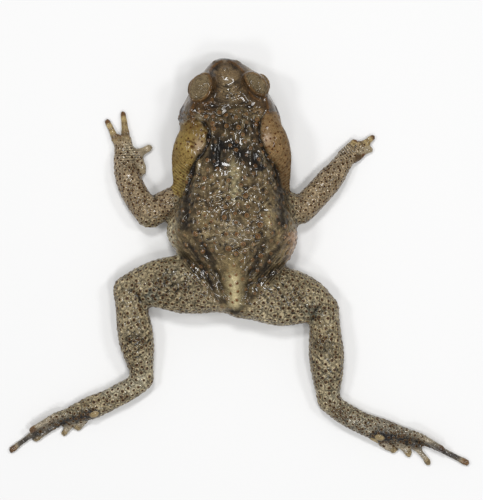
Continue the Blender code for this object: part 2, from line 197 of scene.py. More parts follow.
# The shell is taken back by what its parts were grown, and under that by the depth of the
# warts. The thin fingers and toes lose flesh in the smoothing, and get it back.
DIGITS = {   # root and tip
    "finger_1_left": ((48.6, -49.6, 2.3), (45.6, -42.2, 1.3)),
    "finger_2_left": ((50.3, -50.7, 2.5), (42.3, -54.3, 1.4)),
    "finger_3_left": ((53.3, -54.9, 2.3), (55.2, -70.8, 1.1)),
    "finger_4_left": ((57.4, -54.9, 2.3), (62.7, -66.9, 1.1)),
    "finger_1_right": ((-52.1, -53, 2.9), (-54.7, -57.6, 2.5)),
    "finger_2_right": ((-54.9, -54.2, 2.3), (-63.8, -59.3, 1.3)),
    "finger_3_right": ((-54.9, -52.4, 2.3), (-63, -53.2, 1.1)),
    "finger_4_right": ((-53.5, -48.8, 2.3), (-58.5, -50.6, 1.2)),
    "toe_1_left": ((72.5, 73.8, 2.3), (75.8, 78.1, 1.1)),
    "toe_2_left": ((77.7, 74.3, 2.3), (82.6, 80.4, 1.1)),
    "toe_3_left": ((82.9, 74.3, 2.3), (95.6, 83.4, 1.1)),
    "toe_4_left": ((85.8, 73, 2.1), (107.5, 88.8, 1)),
    "toe_5_left": ((83.5, 71.2, 5.5), (97.1, 78.9, 5.3)),
    "toe_1_right": ((-66.3, 84.2, 2.3), (-72.8, 88.8, 1.1)),
    "toe_2_right": ((-72.9, 84.2, 2.3), (-79.8, 90.6, 1.1)),
    "toe_3_right": ((-80, 84.2, 2.3), (-89.2, 94.6, 1.1)),
    "toe_4_right": ((-84.3, 82.8, 2.1), (-107.3, 94.9, 1)),
    "toe_5_right": ((-81.3, 80.6, 5.5), (-95.3, 88, 5.3)),
}
DIGIT_HALF_WIDTH = (2.6, 3.6)    # a digit's hold on the skin ends between these
DIGIT_FULLNESS = (0.18, 0.16)    # given back to the fingers, and to the toes
TIP_FULLNESS = (0.0, 0.14)       # and more at their tips
TIP_REACH = (-0.5, 1.0)          # how far their tips are drawn out


def along_digits(places):
    """Which digit each place is on, how much it belongs to it, and how far towards its tip."""
    which, share = np.zeros(len(places), dtype=int), np.zeros(len(places))
    best = np.full(len(places), 1e9)
    for number, line in enumerate(DIGITS.values()):
        gap, along = off_line(places, np.array(line))
        nearer = gap < best
        best = np.where(nearer, gap, best)
        which = np.where(nearer, number, which)
        share = np.where(nearer, along, share)
    return which, (1 - ramp(best, *DIGIT_HALF_WIDTH)) * ramp(share, 0.02, 0.3), share


which_digit, digit, to_tip = along_digits(spots)
is_finger = np.array([name.startswith("finger") for name in DIGITS])
hand = is_finger[which_digit]
full = np.where(hand, *DIGIT_FULLNESS) + np.where(hand, *TIP_FULLNESS) * ramp(to_tip, 0.8, 0.95)
spots -= facing * (GROWN + SKIN_DEPTH * (1 - digit) - full * digit)[:, None]
roots, tips = np.array(list(DIGITS.values())).swapaxes(0, 1)
onward = (tips - roots) / np.linalg.norm(tips - roots, axis=1)[:, None]
spots += onward[which_digit] * (np.where(hand, *TIP_REACH) * digit * ramp(to_tip, 0.55, 1.0))[:, None]
settle()


def along_line(places, line, width, ends=0.12):
    """1 on a line, falling to 0 beside it, and fading towards its two ends."""
    line = eased(line)
    middle, half = (line.max(0) + line.min(0)) / 2, np.ptp(line, axis=0) / 2
    near = np.all(np.abs(places - middle) < half + 2.5 * width, axis=1)
    gap, share = off_line(places[near], line)
    close = np.zeros(len(places))
    close[near] = np.exp(-(gap / width) ** 2) * ramp(share, 0, ends) * ramp(1 - share, 0, ends)
    return close


def within(places, outline, soft):
    """1 inside a closed outline in plan, 0 outside it, softened over a width at its edge."""
    outline = eased(tuple(outline) + (outline[0],))
    middle, half = (outline.max(0) + outline.min(0)) / 2, np.ptp(outline, axis=0) / 2
    near = np.all(np.abs(places - middle) < half + np.max(soft), axis=1)
    gap, _ = off_line(places[near], outline)
    x, y = places[near].T
    crossings = np.zeros(len(x), dtype=int)
    for (x0, y0), (x1, y1) in zip(outline, outline[1:]):
        if y0 != y1:
            over = (y0 > y) != (y1 > y)
            crossings += over & (x < (x1 - x0) * (y - y0) / (y1 - y0) + x0)
    inside = np.zeros(len(places))
    soft = soft[near] if np.ndim(soft) else soft
    inside[near] = ramp(np.where(crossings % 2 == 1, gap, -gap), -soft / 2, soft / 2)
    return inside


OFF_AXIS = np.array(((0.36, 0.48, -0.80), (-0.80, 0.60, 0.00), (0.48, 0.64, 0.60)))


def speckle(places, size, seed):
    """Smooth random values between -1 and 1 that change over a size in millimetres."""
    grid = places @ OFF_AXIS / size + seed * 17.31
    cell = np.floor(grid).astype(np.int64)
    part = grid - cell
    part = part * part * (3 - 2 * part)
    total = np.zeros(len(places))
    for corner in np.ndindex(2, 2, 2):
        key = cell + corner
        mixed = key[:, 0] * 73856093 ^ key[:, 1] * 19349663 ^ key[:, 2] * 83492791
        mixed = (mixed ^ (mixed >> 13)) * 1274126177 & 0x7FFFFFFF
        value = (mixed % 20011) / 10005.0 - 1
        weight = np.prod(np.where(corner, part, 1 - part), axis=1)
        total += value * weight
    return total


# ---------------------------------------------------------------------------
# Head. The bony ridges of a cane toad's skull show through its skin, from the nostrils
# over the eyes to the neck, round a hollow brow. They are raised out of the skin here.
HEAD_RIDGES = (   # line in plan, half width, height
    (((8.6, -90.2), (12, -88.6), (14.4, -86.4), (15.6, -84.2), (16.6, -84.3)), 0.8, 0.45),
    (((7.2, -90.4), (3.6, -88.8), (0.9, -87), (-0.4, -85.4), (-1.7, -84)), 0.8, 0.45),
    (((16.2, -84.6), (14.9, -81.4), (14.4, -77.9), (15.6, -73.9), (18.4, -71.4), (22.4, -70.4)), 0.8, 0.8),
    (((-1.4, -84.2), (-2.2, -80.8), (-3.9, -77.6), (-6.6, -74.7), (-9.8, -73.2), (-12, -73.9)), 0.8, 0.8),
    (((21.6, -70.9), (23.6, -67.5), (24, -63.4), (23.4, -60.4)), 0.9, 0.4),
    (((-11, -73), (-12.8, -68.4), (-12.6, -64.4)), 0.9, 0.4),
    (((13.4, -72.6), (14.6, -70.2), (18.6, -69)), 0.7, 0.35),
    (((-3.4, -75.4), (-5.2, -72.4), (-9.2, -71)), 0.7, 0.35),
)
LID_OUTLINES = {   # the upper lids as seen from above
    "left": ((16.6, -84.3), (14.9, -81.5), (14.5, -78), (15.9, -73.9), (18.7, -71.5), (22.5, -70.6),
             (24.9, -73.2), (25.1, -76.7), (23.8, -80.1), (20.4, -83.2)),
    "right": ((-1.7, -83.9), (-5.5, -84.6), (-9, -82.5), (-11.7, -79.4), (-13.1, -76.7), (-12.1, -74.2),
              (-9.6, -73.5), (-6.6, -74.9), (-3.8, -77.7), (-2, -80.8)),
}
BROW_HOLLOW = ((7.2, -84), (6.4, -80), (5.6, -74), (4.8, -68))
BROW_MIDDLE = (6.6, -84)
LID_GRAIN = 0.95         # between the rows of granules on the lids
BROW_RING = 1.35         # between the fine arched wrinkles of the brow
GLAND_OUTLINES = {
    "left": (
        (24.9, -62.2), (19.7, -61.3), (16.9, -58.4), (15.9, -55.1), (16.9, -50.8), (18.3, -48),
        (21.1, -44.6), (24, -40.4), (25.4, -35.1), (27.3, -29.9), (28.3, -25.2), (30.8, -25),
        (34.5, -31.3), (37.4, -38), (37.4, -45.1), (34.6, -52.2), (30.3, -58.9),
    ),
    "right": (
        (-11.6, -65.1), (-9.3, -61.3), (-8.8, -54.6), (-10.7, -48.9), (-14.5, -43.7), (-17.3, -38),
        (-18.8, -33.2), (-20.2, -27.5), (-23.1, -28.4), (-27.9, -38), (-27.9, -45.1),
        (-26, -54.6), (-22.2, -61.8), (-17.4, -66.5),
    ),
}
GLAND_EDGES = (
    ((24.9, -62.6), (19, -61.6), (15.6, -57.4), (15.2, -54), (16.3, -49.8), (19.4, -45.4),
     (22.5, -41.2), (24.4, -36.6), (26, -31.3), (27, -25)),
    ((-12.2, -65.8), (-8.7, -62), (-8, -55.2), (-9.9, -48.4), (-13.9, -42.8), (-16.5, -38),
     (-17.9, -33.2), (-19, -27)),
)
plan = in_plan(spots)
upper = ramp(facing[:, 2], -0.15, 0.35) * ramp(spots[:, 2], 5.0, 9.0)
lift = np.zeros(len(spots))
for line, width, height in HEAD_RIDGES:
    lift += height * along_line(plan, line, width, 0.1)
for outline in LID_OUTLINES.values():
    lift += 0.25 * within(plan, outline, 1.4) + 0.3 * along_line(plan, outline + outline[:2], 0.6, 0.01)
    middle = np.mean(outline, axis=0)
    off_middle = np.hypot(*((plan - middle) * (1.25, 0.9)).T)
    grains = np.sin(2 * math.pi * off_middle / LID_GRAIN + 2.2 * speckle(spots, 1.6, 6))
    lift += 0.13 * grains * within(plan, outline, 1.6)
rings = np.sin(2 * math.pi * np.hypot(*(plan - BROW_MIDDLE).T) / BROW_RING + 3.2 * speckle(spots, 2.4, 5))
rings *= 0.55 + 0.45 * speckle(spots, 2.0, 7)
lift += 0.18 * rings * along_line(plan, BROW_HOLLOW, 5.2, 0.25) * ramp(plan[:, 1], -81.0, -76.0)
lift -= 1.5 * along_line(plan, BROW_HOLLOW, 4.6, 0.35)
glands = {side: within(plan, outline, 1.6) * ramp(spots[:, 2], 6.0, 8.0)
          for side, outline in GLAND_OUTLINES.items()}
for gland in glands.values():
    lift += 0.55 * gland
for line in GLAND_EDGES:
    lift -= 1.05 * along_line(plan, line, 1.0, 0.08)
spots += facing * (lift * upper)[:, None]
settle()

# ---------------------------------------------------------------------------
# Eyelids. A thick, finely grained upper lid overhangs each eye, and a thin lower lid
# comes up to meet it. The skin is laid over the eyeball, and opened along the lids.
EYES = {   # eye's centre, and the way it looks
    "left": (np.array((18.25, -80.5, 17.7)), np.array((0.93, -0.30, -0.20))),
    "right": (np.array((-8.75, -82.2, 17.7)), np.array((-0.90, -0.36, -0.20))),
}
EYE_RADIUS = 4.9
LID_REACH = (54.0, 25.0, 30.0)   # half the opening: along the eye, up and down, in degrees


def round_eye(side, places):
    """Distance of places from an eye's middle, and their angles along and up its opening."""
    centre, look = EYES[side]
    look = look / np.linalg.norm(look)
    level = np.cross((0, 0, 1), look)
    level /= np.linalg.norm(level)
    rise = np.cross(look, level)
    out = places - centre
    reach = np.linalg.norm(out, axis=1)
    out = out / reach[:, None]
    ahead = out @ look
    return reach, np.degrees(np.arctan2(out @ level, ahead)), np.degrees(np.arcsin(out @ rise)), ahead


def lid_gap(along, up):
    """Below 1 inside the lid opening, 1 on the lids' edges."""
    half = np.where(up > 0, LID_REACH[1], LID_REACH[2])
    return (np.abs(along) / LID_REACH[0]) ** 1.7 + (np.abs(up) / half) ** 2


for side in EYES:
    reach, along, up, ahead = round_eye(side, spots)
    opening = lid_gap(along, up)
    thick = 0.25 + 0.4 * ramp(up, 0, 24) + 0.4 * ramp(np.abs(up), 34, 55)
    thick += 0.4 * np.exp(-((opening - 1.4) / 0.3) ** 2) - 0.25 * np.exp(-((opening - 2.3) / 0.35) ** 2)
    shell = EYE_RADIUS - 0.8 + (thick + 0.8) * ramp(opening, 0.85, 1.2)
    hold = (1 - ramp(opening, 1.8, 3.4)) * ramp(ahead, 0.02, 0.4) * (1 - ramp(reach, 8.0, 10.5))
    wanted = reach + (shell - reach) * hold
    spots += (spots - EYES[side][0]) * ((wanted - reach) / reach)[:, None]
settle()


# ---------------------------------------------------------------------------
# Snout and ears. Each nostril is a small pit with a raised rim at the snout's corner, the
# lips meet in a thin line round the jaw, and the eardrum is a shallow disc behind the eye.
NOSTRILS = ((12.3, -94.6, 12.6), (0.0, -95.2, 12.6))     # in millimetres in the model's frame
EARDRUMS = ((25.2, -70.4, 12.2), (-17.0, -71.0, 12.2))


def on_skin(target):
    """The point of the skin nearest to a place."""
    return spots[np.argmin(((spots - target) ** 2).sum(axis=1))].copy()


lift = np.zeros(len(spots))
for target in NOSTRILS:
    gap = np.linalg.norm(spots - on_skin(np.array(target)), axis=1)
    lift += 0.3 * np.exp(-((gap - 1.15) / 0.5) ** 2) - 1.0 * np.exp(-(gap / 0.62) ** 2)
for target in EARDRUMS:
    gap = np.linalg.norm((spots - on_skin(np.array(target))) * (1, 0.95, 0.85), axis=1)
    lift += 0.2 * np.exp(-((gap - 3.1) / 0.6) ** 2) - 0.4 * (1 - ramp(gap, 1.9, 2.9))
mouth_height = 6.2 + 1.3 * ramp(spots[:, 1], -88, -68)
beside_mouth = spots[:, 2] - mouth_height
sideways = (1 - ramp(np.abs(facing[:, 2]), 0.55, 0.9)) * (1 - ramp(spots[:, 1], -67.5, -64.0))
lift -= 0.7 * np.exp(-(beside_mouth / 0.38) ** 2) * sideways
lift += 0.22 * np.exp(-((beside_mouth - 1.3) / 0.8) ** 2) * sideways
spots += facing * lift[:, None]
settle()

# ---------------------------------------------------------------------------
# Folds. The loose skin of the back lies in long folds: from the neck glands down both
# sides, in a V from the hips to the vent, round the tail spine, and finely at the groins.
KNEE_CREASES = (
    ((54, 19), (50.1, 20.2), (48.2, 22.8), (47, 26)),
    ((-38, 26), (-35.6, 27.6), (-34.2, 30.4), (-33.6, 34)),
)
ELBOW_CREASE = ((42, -29.4), (41.7, -26), (41.2, -22.4))
FOLDS = (   # line in plan, half width, height
    (((22.6, -42), (24, -35.6), (25, -28.5), (26.2, -19), (27, -9.5)), 1.3, -0.85),
    (((-14, -43), (-16.9, -37), (-18.6, -30.9), (-19.4, -23.8), (-19.4, -13)), 1.3, -0.85),
    (((21, -44), (21.4, -36), (22.2, -28)), 1.1, 0.45),
    (((-12.8, -42.5), (-14.6, -36), (-15.8, -29.5)), 1.1, 0.45),
    (((15, -57.5), (12.4, -52), (12.6, -45.5), (13.6, -41)), 1, 0.5),
    (((18.6, -3.4), (15.4, -5.6), (13.1, -7), (9.6, -7.9), (5.4, -7.1), (0.7, -7.7),
      (-5, -6.6), (-9.7, -8.2), (-12.6, -5.6)), 0.9, -0.42),
    (((21, -6.5), (16.3, 0.9), (12.4, 9.5), (9.4, 17.1), (6.6, 25.4)), 1.5, -0.9),
    (((-12.8, -6.5), (-8.5, 0.9), (-5.4, 9.5), (-3, 17.1), (-0.8, 25.4)), 1.5, -0.9),
    (((23.5, -1.5), (18.8, 6), (15.4, 14), (12.6, 21)), 0.9, -0.4),
    (((-15.6, -1.5), (-11.4, 6), (-8.2, 14), (-6, 21)), 0.9, -0.4),
    (((5, 0), (4.3, 11.9), (3.6, 19.9), (3.1, 27.8)), 2.4, 1.2), (KNEE_CREASES[0], 0.9, -0.7),
    (KNEE_CREASES[1], 0.9, -0.7), (ELBOW_CREASE, 0.7, -0.6),
    (((12.6, -55.4), (10.8, -51), (12, -46.6), (10.4, -42.6), (11.4, -38.4)), 1, -0.5),
    (((3.4, -51.5), (1.6, -48), (1.4, -44.4), (3, -40.6)), 0.9, -0.4),
    (((-4.6, -51), (-6.4, -47), (-7, -42.6), (-10.2, -38)), 1, -0.55),
    (((14.6, -71), (11, -69), (6, -69.4), (2.4, -68.4)), 0.6, 0.4),
    (((3, -70), (-1.4, -68.8), (-5, -70.6)), 0.6, 0.4),
    (((17.6, -67.6), (13, -66.6), (8.6, -67.4)), 0.6, 0.4),
    (((5, -66.4), (0, -67.4), (-4.4, -66.6), (-8, -68.2)), 0.6, 0.35),
    (((20.6, -66.4), (16.6, -64.9), (12, -65.4)), 0.6, 0.4),
    (((-3, -64.8), (-6, -65.6), (-10, -66.4)), 0.6, 0.4),
    (((9, -66), (8, -60), (8.4, -52), (6.6, -44)), 0.8, 0.3),
    (((-2, -66), (-4.6, -60), (-3.6, -52), (-4.6, -44)), 0.8, 0.3),
)
TRUNK_OUTLINE = (
    (7.5, -66), (17, -66), (24.5, -60), (24.5, -42), (26, -33), (27.5, -25), (31.5, -14),
    (33.5, -6), (31, 2.5), (22, 12), (11.5, 26), (3, 31.5), (-3, 27), (-9.5, 19),
    (-22, 6), (-24.5, 1), (-25, -9), (-21.5, -21), (-20.5, -29), (-17.5, -38),
    (-12, -48), (-11, -66), (-3, -66),
)
plan = in_plan(spots)
plan += np.column_stack([
    0.8 * speckle(spots, 4.5, seed) + 0.5 * speckle(spots, 1.9, seed + 2) for seed in (11, 12)
])
upper = ramp(facing[:, 2], -0.1, 0.3) * ramp(spots[:, 2], 3.0, 7.0)
lift = np.zeros(len(spots))
for line, width, height in FOLDS:
    lift += height * along_line(plan, line, width, 0.18)
lift += 0.22 * speckle(spots, 7.0, 1) + 0.10 * speckle(spots, 3.1, 2)
# Between the folds the wet back is rumpled: lengthwise at the shoulders and along the V of
# the hips, and in small cushions in the middle.
on_back = within(plan, TRUNK_OUTLINE, 5.0) * ramp(spots[:, 2], 6.0, 12.0)
shoulder = on_back * ramp(plan[:, 1], -66.0, -58.0) * (1 - ramp(plan[:, 1], -42.0, -34.0))
hips = on_back * ramp(plan[:, 1] + 0.9 * np.abs(plan[:, 0] - 4.0), 6.0, 14.0)
lean = np.where(plan[:, 0] > 3.8, 0.55, -0.55) * (hips > 0.2)
slant = np.column_stack((spots[:, 0] + lean * spots[:, 1], spots[:, 1] * 0.42, spots[:, 2]))
rumple = 1 - 2.2 * np.abs(speckle(slant, 2.3, 21))
cushions = 1 - 2.0 * np.abs(speckle(spots, 2.2, 22))
folded = np.maximum(shoulder, hips)
lift += 0.34 * rumple * folded + 0.34 * cushions * on_back * (1 - folded)
lift += 0.10 * (1 - 2 * np.abs(speckle(spots, 1.7, 23))) * (1 - on_back) * (spots[:, 1] > -60)
spots += facing * (lift * upper)[:, None]
settle()

# ---------------------------------------------------------------------------
# Warts. Every wart is a dome of skin; the large ones stand in their known places, and the
# small ones crowd between them, closer on the arms and feet. The glands have pores instead.
BIG_WARTS = (   # place in plan, radius, height
    (16.9, -63.6, 1.3, 0.5), (13.9, -60.2, 1.5, 0.7), (12.9, -57.6, 1.5, 0.7), (7.4, -64.1, 1.2, 0.6),
    (6.9, -58.9, 1.4, 0.7), (1.2, -58.4, 1.6, 0.8), (-0.7, -55.1, 1.3, 0.6), (2.1, -47.5, 1.3, 0.6),
    (-7.4, -62.2, 1.5, 0.7), (-7, -60, 1.4, 0.6), (16.4, -42.8, 1.3, 0.6), (-10.2, -46.5, 1.4, 0.7),
    (17.8, -34.2, 1.5, 0.6), (18.3, -29.4, 1.3, 0.5), (5.9, -32.8, 1.4, 0.7), (0.2, -31.3, 1.3, 0.6),
    (-2.1, -26.1, 1.7, 0.9), (-2.6, -20.9, 1.3, 0.6), (-2.1, -16.6, 1.6, 0.8), (6.4, -25.2, 1.4, 0.6),
    (7.8, -15.7, 1.6, 0.6), (-8.8, -12.3, 1.8, 0.8), (2.6, -17.6, 1.2, 0.6), (2.6, -12.8, 1.1, 0.5),
    (17.3, -11.4, 1.2, 0.5), (22.1, -7.6, 1.8, 0.8), (26.4, -2.4, 1.5, 0.8), (17.3, -2.4, 1.2, 0.5),
    (18.3, 0.9, 1.5, 0.6), (5.9, -0.5, 2, 1), (-1.2, -2.8, 1.7, 0.8), (2.1, 1.9, 1.5, 0.7),
    (2.6, -7.6, 1.3, 0.5), (7.8, -7.6, 1.4, 0.5), (-8.3, -6.6, 1.9, 0.9), (-21.1, -11.4, 1.5, 0.9),
    (-23, -7.6, 1.3, 0.8), (-22.6, -3.8, 1.2, 0.7), (-20.7, -5.7, 1.2, 0.7), (-15, -8.1, 1.2, 0.5),
    (-9.3, 2.8, 1.5, 0.6), (-13.5, 5.7, 1.3, 0.6), (-7.4, 10, 1.2, 0.5), (9.3, -83.1, 0.8, 0.35),
    (7.9, -85.9, 0.9, 0.4), (6, -86.4, 0.9, 0.4), (6.7, -83.2, 0.8, 0.35), (5.6, -73, 0.9, 0.45),
    (1.8, -74.5, 0.9, 0.4), (9.4, -75.7, 0.8, 0.4), (3.7, -77.9, 0.8, 0.35), (13.6, -74.9, 0.7, 0.3),
    (5.5, -80.4, 0.7, 0.3), (4.8, -76, 0.8, 0.4), (8.4, -79, 0.7, 0.3), (17.8, -16.8, 1, 0.4),
    (14.4, -13.2, 1.1, 0.4), (-13.4, -16, 1, 0.4), (-14.4, -12.6, 1, 0.4), (54.4, 39.9, 1.4, 0.6),
    (47.7, 39.9, 1.4, 0.6), (-41.1, 44.7, 1.5, 0.7), (-42, 49.9, 1.4, 0.6),
    (5.9, 12.8, 0.95, 0.3), (5.7, 16.8, 0.95, 0.3), (5.4, 20.8, 0.95, 0.3), (2.1, 12, 0.95, 0.3),
    (1.8, 16, 0.95, 0.3), (1.5, 20, 0.95, 0.3), (1.6, 24, 0.95, 0.3), (4.7, 25, 0.85, 0.25),
)
FOOT_PADS = (   # place in plan, radii, lean in degrees
    (69.8, 78.1, 2.5, 1.6, 20), (-65.6, 89.1, 2.5, 1.5, -14), (-62.8, 90.6, 2.5, 1.3, -24),
)


def on_pads(plan):
    """1 in the middle of a pad of a foot, 0 at its edge, and less outside it."""
    rise = np.full(len(plan), -9.0)
    for x, y, long, wide, lean in FOOT_PADS:
        turn = np.exp(1j * math.radians(lean))
        place = ((plan[:, 0] - x) + 1j * (plan[:, 1] - y)) / turn
        rise = np.maximum(rise, 1 - (place.real / long) ** 2 - (place.imag / wide) ** 2)
    return rise


WART_TRIES, PORE_TRIES = 40000, 6000
ROOM_CELL = 2.5          # size of the cells in which near warts are looked up

rng = np.random.default_rng(7)
plan = in_plan(spots)
back = within(plan, TRUNK_OUTLINE, 4.0) * ramp(spots[:, 2], 6.0, 12.0)
head = 1 - ramp(spots[:, 1], -74.0, -68.0)
gland = sum(within(plan, outline, 1.0) * ramp(spots[:, 2], 6.0, 8.0) for outline in GLAND_OUTLINES.values())
arm = (1 - ramp(spots[:, 1], -24.0, -16.0)) * ramp(np.abs(plan[:, 0] - 3.0), 27.0, 31.0)
foot = ramp(spots[:, 1], 60.0, 72.0)
below = 1 - ramp(facing[:, 2], -0.25, 0.1)
spacing = 2.4 + 1.5 * back - 0.45 * arm - 0.6 * foot
_, digit, to_tip = along_digits(spots)
barred = (gland > 0.3) | (facing[:, 2] < -0.6) | (spots[:, 2] < 0.7) | (head > 0.3)
barred |= (digit * to_tip > 0.45) | (on_pads(plan) > -0.6)

warts = []       # place, radius, height, kind
cells = {}


def cell_of(place):
    """The cell that a place lies in."""
    return tuple(np.floor(place / ROOM_CELL).astype(int))


def has_room(place, gap):
    """True where no wart stands closer than a gap."""
    cx, cy, cz = cell_of(place)
    for x in range(cx - 2, cx + 3):
        for y in range(cy - 2, cy + 3):
            for z in range(cz - 2, cz + 3):
                for other, room in cells.get((x, y, z), ()):
                    if ((place - other) ** 2).sum() < (0.5 * (gap + room)) ** 2:
                        return False
    return True


def put_wart(i, radius, height, kind, room):
    """Note a wart on point i of the skin, and keep room round it."""
    warts.append((i, radius, height, kind))
    cells.setdefault(cell_of(spots[i]), []).append((spots[i].copy(), room))


up_facing = np.flatnonzero((facing[:, 2] > 0.15) & (spots[:, 2] > 2.0))
for x, y, radius, height in BIG_WARTS:
    near = up_facing[np.argsort(((plan[up_facing] - (x, y)) ** 2).sum(axis=1))[:6]]
    kind = "plain" if y < -72 or y > 30 else "knob"
    height *= 1.5 if y < -72 else 1.35
    put_wart(near[np.argmax(spots[near, 2])], radius, height, kind, radius * 2.4)
for i in rng.permutation(np.flatnonzero(~barred))[:WART_TRIES]:
    place, gap = spots[i], spacing[i] * rng.uniform(0.82, 1.2)
    if has_room(place, gap):
        size, upright = rng.uniform(0.8, 1.15), 0.4 + 0.6 * max(facing[i, 2], 0)
        if below[i] > 0.5:
            put_wart(i, 1.1 * size, 0.2 * size, "plain", gap)
        elif back[i] > 0.5 or spots[i, 1] < -58:
            put_wart(i, 1.1 * size, 0.4 * size, "knob", gap)
        elif arm[i] > 0.5 or foot[i] > 0.5:
            radius = 0.88 if foot[i] > 0.5 else 0.7 if spots[i, 1] < -52 else 0.95
            put_wart(i, radius * size, 0.34 * size * upright, "thorn", gap)
        else:
            put_wart(i, 1.05 * size, 0.46 * size * upright, "thorn", gap)
for i in rng.permutation(np.flatnonzero(gland > 0.8))[:PORE_TRIES]:
    place, gap = spots[i], rng.uniform(1.3, 3.4)
    if has_room(place, gap):
        put_wart(i, rng.uniform(0.6, 0.9), -0.08, "pore", gap)
kinds = np.array([wart[3] for wart in warts])
wart_points = np.array([wart[0] for wart in warts])
wart_sizes = np.array([wart[1:3] for wart in warts])
is_big = np.arange(len(warts)) < len(BIG_WARTS)
wart_strengths = np.where(is_big, 1.0, rng.uniform(0.3, 0.85, len(warts)))
wart_strengths[is_big & (plan[wart_points, 1] > 12.0)] = 1.3
wart_tree = KDTree(len(warts))
for i, place in enumerate(spots[wart_points]):
    wart_tree.insert(place, i)
wart_tree.balance()


def nearest_warts(places):
    """For each place: its nearest wart, how far off that is, and how much farther the next."""
    found = [wart_tree.find_n(place, 2) for place in places]
    gaps = np.array([(first[2], second[2]) for first, second in found])
    return np.array([first[1] for first, _ in found]), gaps[:, 0], gaps[:, 1] - gaps[:, 0]


nearest, gap, to_border = nearest_warts(spots)
radius, height = wart_sizes[nearest].T
lift = 0.8 * np.sqrt(np.clip(on_pads(plan), 0, 1)) * ramp(facing[:, 2], 0.0, 0.3)
lift += height * np.clip(1 - (gap / radius) ** 2, 0, 1) ** 1.5
creased = (1 - ramp(to_border, 0.0, 0.8)) * (1 - below) * (1 - gland)
lift -= 0.13 * creased * (1 - 0.7 * head) * (1 - 0.6 * back)
spots += facing * lift[:, None]
settle()
wart_tops = spots[wart_points]

# The underside and other flat places need few faces, so the skin is thinned to its shape.
SKIN_TRIANGLES = 192000
UNDERSIDE_SHARE = 0.15   # of the underside's faces are kept before that
UNDERSIDE_TOP = 9.0      # millimetres over the floor
heights = numbers(skin.data.polygons, "center", 3)[:, 2]
tilts = numbers(skin.data.polygons, "normal", 3)[:, 2]
skin.data.polygons.foreach_set("select", (tilts < -0.35) & (heights < UNDERSIDE_TOP * MM))
bpy.ops.object.mode_set(mode="EDIT")
bpy.ops.mesh.decimate(ratio=UNDERSIDE_SHARE)
bpy.ops.object.mode_set(mode="OBJECT")
thin = skin.modifiers.new("thin", "DECIMATE")
thin.ratio = SKIN_TRIANGLES / sum(len(face.vertices) - 2 for face in skin.data.polygons)
bpy.ops.object.modifier_apply(modifier=thin.name)
bpy.ops.object.shade_smooth()

# ---------------------------------------------------------------------------
# Markings. The hide is olive-tan on the legs and darker and browner on the back, nearly
# black between the neck glands, with ochre glands, rusty skull ridges and a pale tail spine.
# Painted light and shade go in with them: lighter raised places, darker hollows, creases and
# grooves, and two painted highlights on the glands.
DARK_PATCHES = (   # place in plan, radii
    (15.7, -53.2, 1.5, 2.6), (12.1, -46, 2.2, 3.6), (11.6, -40.4, 2.6, 3.2), (3.1, -50.2, 1.8, 1.8),
    (0.7, -46, 1.6, 2.4), (-6.6, -42.5, 1.8, 3.6), (-9.7, -38.9, 2.4, 1.8), (6.6, -48.4, 2.6, 1.2),
    (7.8, -91.9, 5, 1.7), (2.1, -24.2, 0.8, 1.4), (12.1, -3.3, 0.8, 0.8), (7.4, 13.3, 0.8, 1),
    (9.6, -49.6, 1.4, 2.4),
)
# Dark streaks of the hide. Where they follow grooves (down the sides, along the glands' edges, in the V of
# the hips, at the knees and elbow) they also paint the shade in those grooves: painted shade.
DARK_AND_SHADED_LINES = (   # line in plan, half width, strength
    (((24.2, -41), (25.4, -35.6), (26, -28.5), (26.6, -19), (27.2, -8)), 3.4, 0.95),
    (((-13, -44), (-17, -37), (-18.8, -30.9), (-19.6, -23.8), (-19.6, -10)), 3.4, 0.95),
    (((21, -6.5), (16.3, 0.9), (12.4, 9.5), (9.4, 17.1), (6.6, 26.4)), 2.4, 0.6),
    (((-12.8, -6.5), (-8.5, 0.9), (-5.4, 9.5), (-3, 17.1), (-0.8, 26.4)), 2.4, 0.6),
    (((26, -4), (21, 4), (17.4, 12), (13, 20), (9, 27)), 1, 0.8),
    (((29, 0), (24.4, 6), (19.4, 14)), 0.9, 0.7),
    (((22.6, -1), (19, 5), (15.4, 13), (11.4, 20)), 0.9, 0.7),
    (((-19, -3), (-14, 4), (-10.4, 12), (-6, 20), (-2.4, 27)), 1, 0.8),
    (((-22.4, 2), (-17.4, 9), (-12.4, 16)), 0.9, 0.7),
    (((-15.6, -1), (-12, 5), (-8.4, 13)), 0.9, 0.7),
    (((18, -61.5), (15.4, -56), (16.3, -50), (19.4, -45.4), (23.4, -40)), 1.3, 0.8),
    (((-9, -62), (-8.2, -55.2), (-10.1, -48.4), (-14.1, -42.8)), 1.3, 0.8),
    (((6.4, 25), (5.4, 28.4), (2.8, 30.4), (0.4, 28.4), (-0.4, 25)), 1.2, 0.9),
    (KNEE_CREASES[0], 1, 0.55), (KNEE_CREASES[1], 1, 0.5), (ELBOW_CREASE, 0.7, 0.6),
    (((24, 18), (34, 15.5), (43, 16)), 3, 0.4), (((-16, 24), (-24, 23), (-32, 25)), 3, 0.2),
    (((13, -70.6), (6, -67.4), (-3, -70)), 2.4, 0.5), (((15, -66), (6, -60), (-6, -62)), 6, 0.4),
    (((13.4, -56), (11.8, -47), (11.6, -38)), 3.8, 1),
    (((10, -52), (4, -50), (1, -47), (-4, -44), (-9.4, -38)), 4.2, 0.9),
    (((-5, -62), (-6, -54), (-8, -46)), 2.6, 0.6), (((46, 41.5), (56, 42.5)), 3.6, 0.45),
    (((-34, 46.5), (-44, 45)), 3.6, 0.45), (((30, 5), (36, 14)), 4, 0.35),
    (((-18, 10), (-22, 22)), 4, 0.15),
    (((68, 76), (78, 79.8), (86, 82.8), (97, 87.4), (107, 93.6)), 1.9, 1),
    (((-60, 87.4), (-70.5, 88.4), (-77.1, 90.4), (-88.6, 93.9), (-98.5, 96.6), (-105, 100)), 2.1, 1),
)
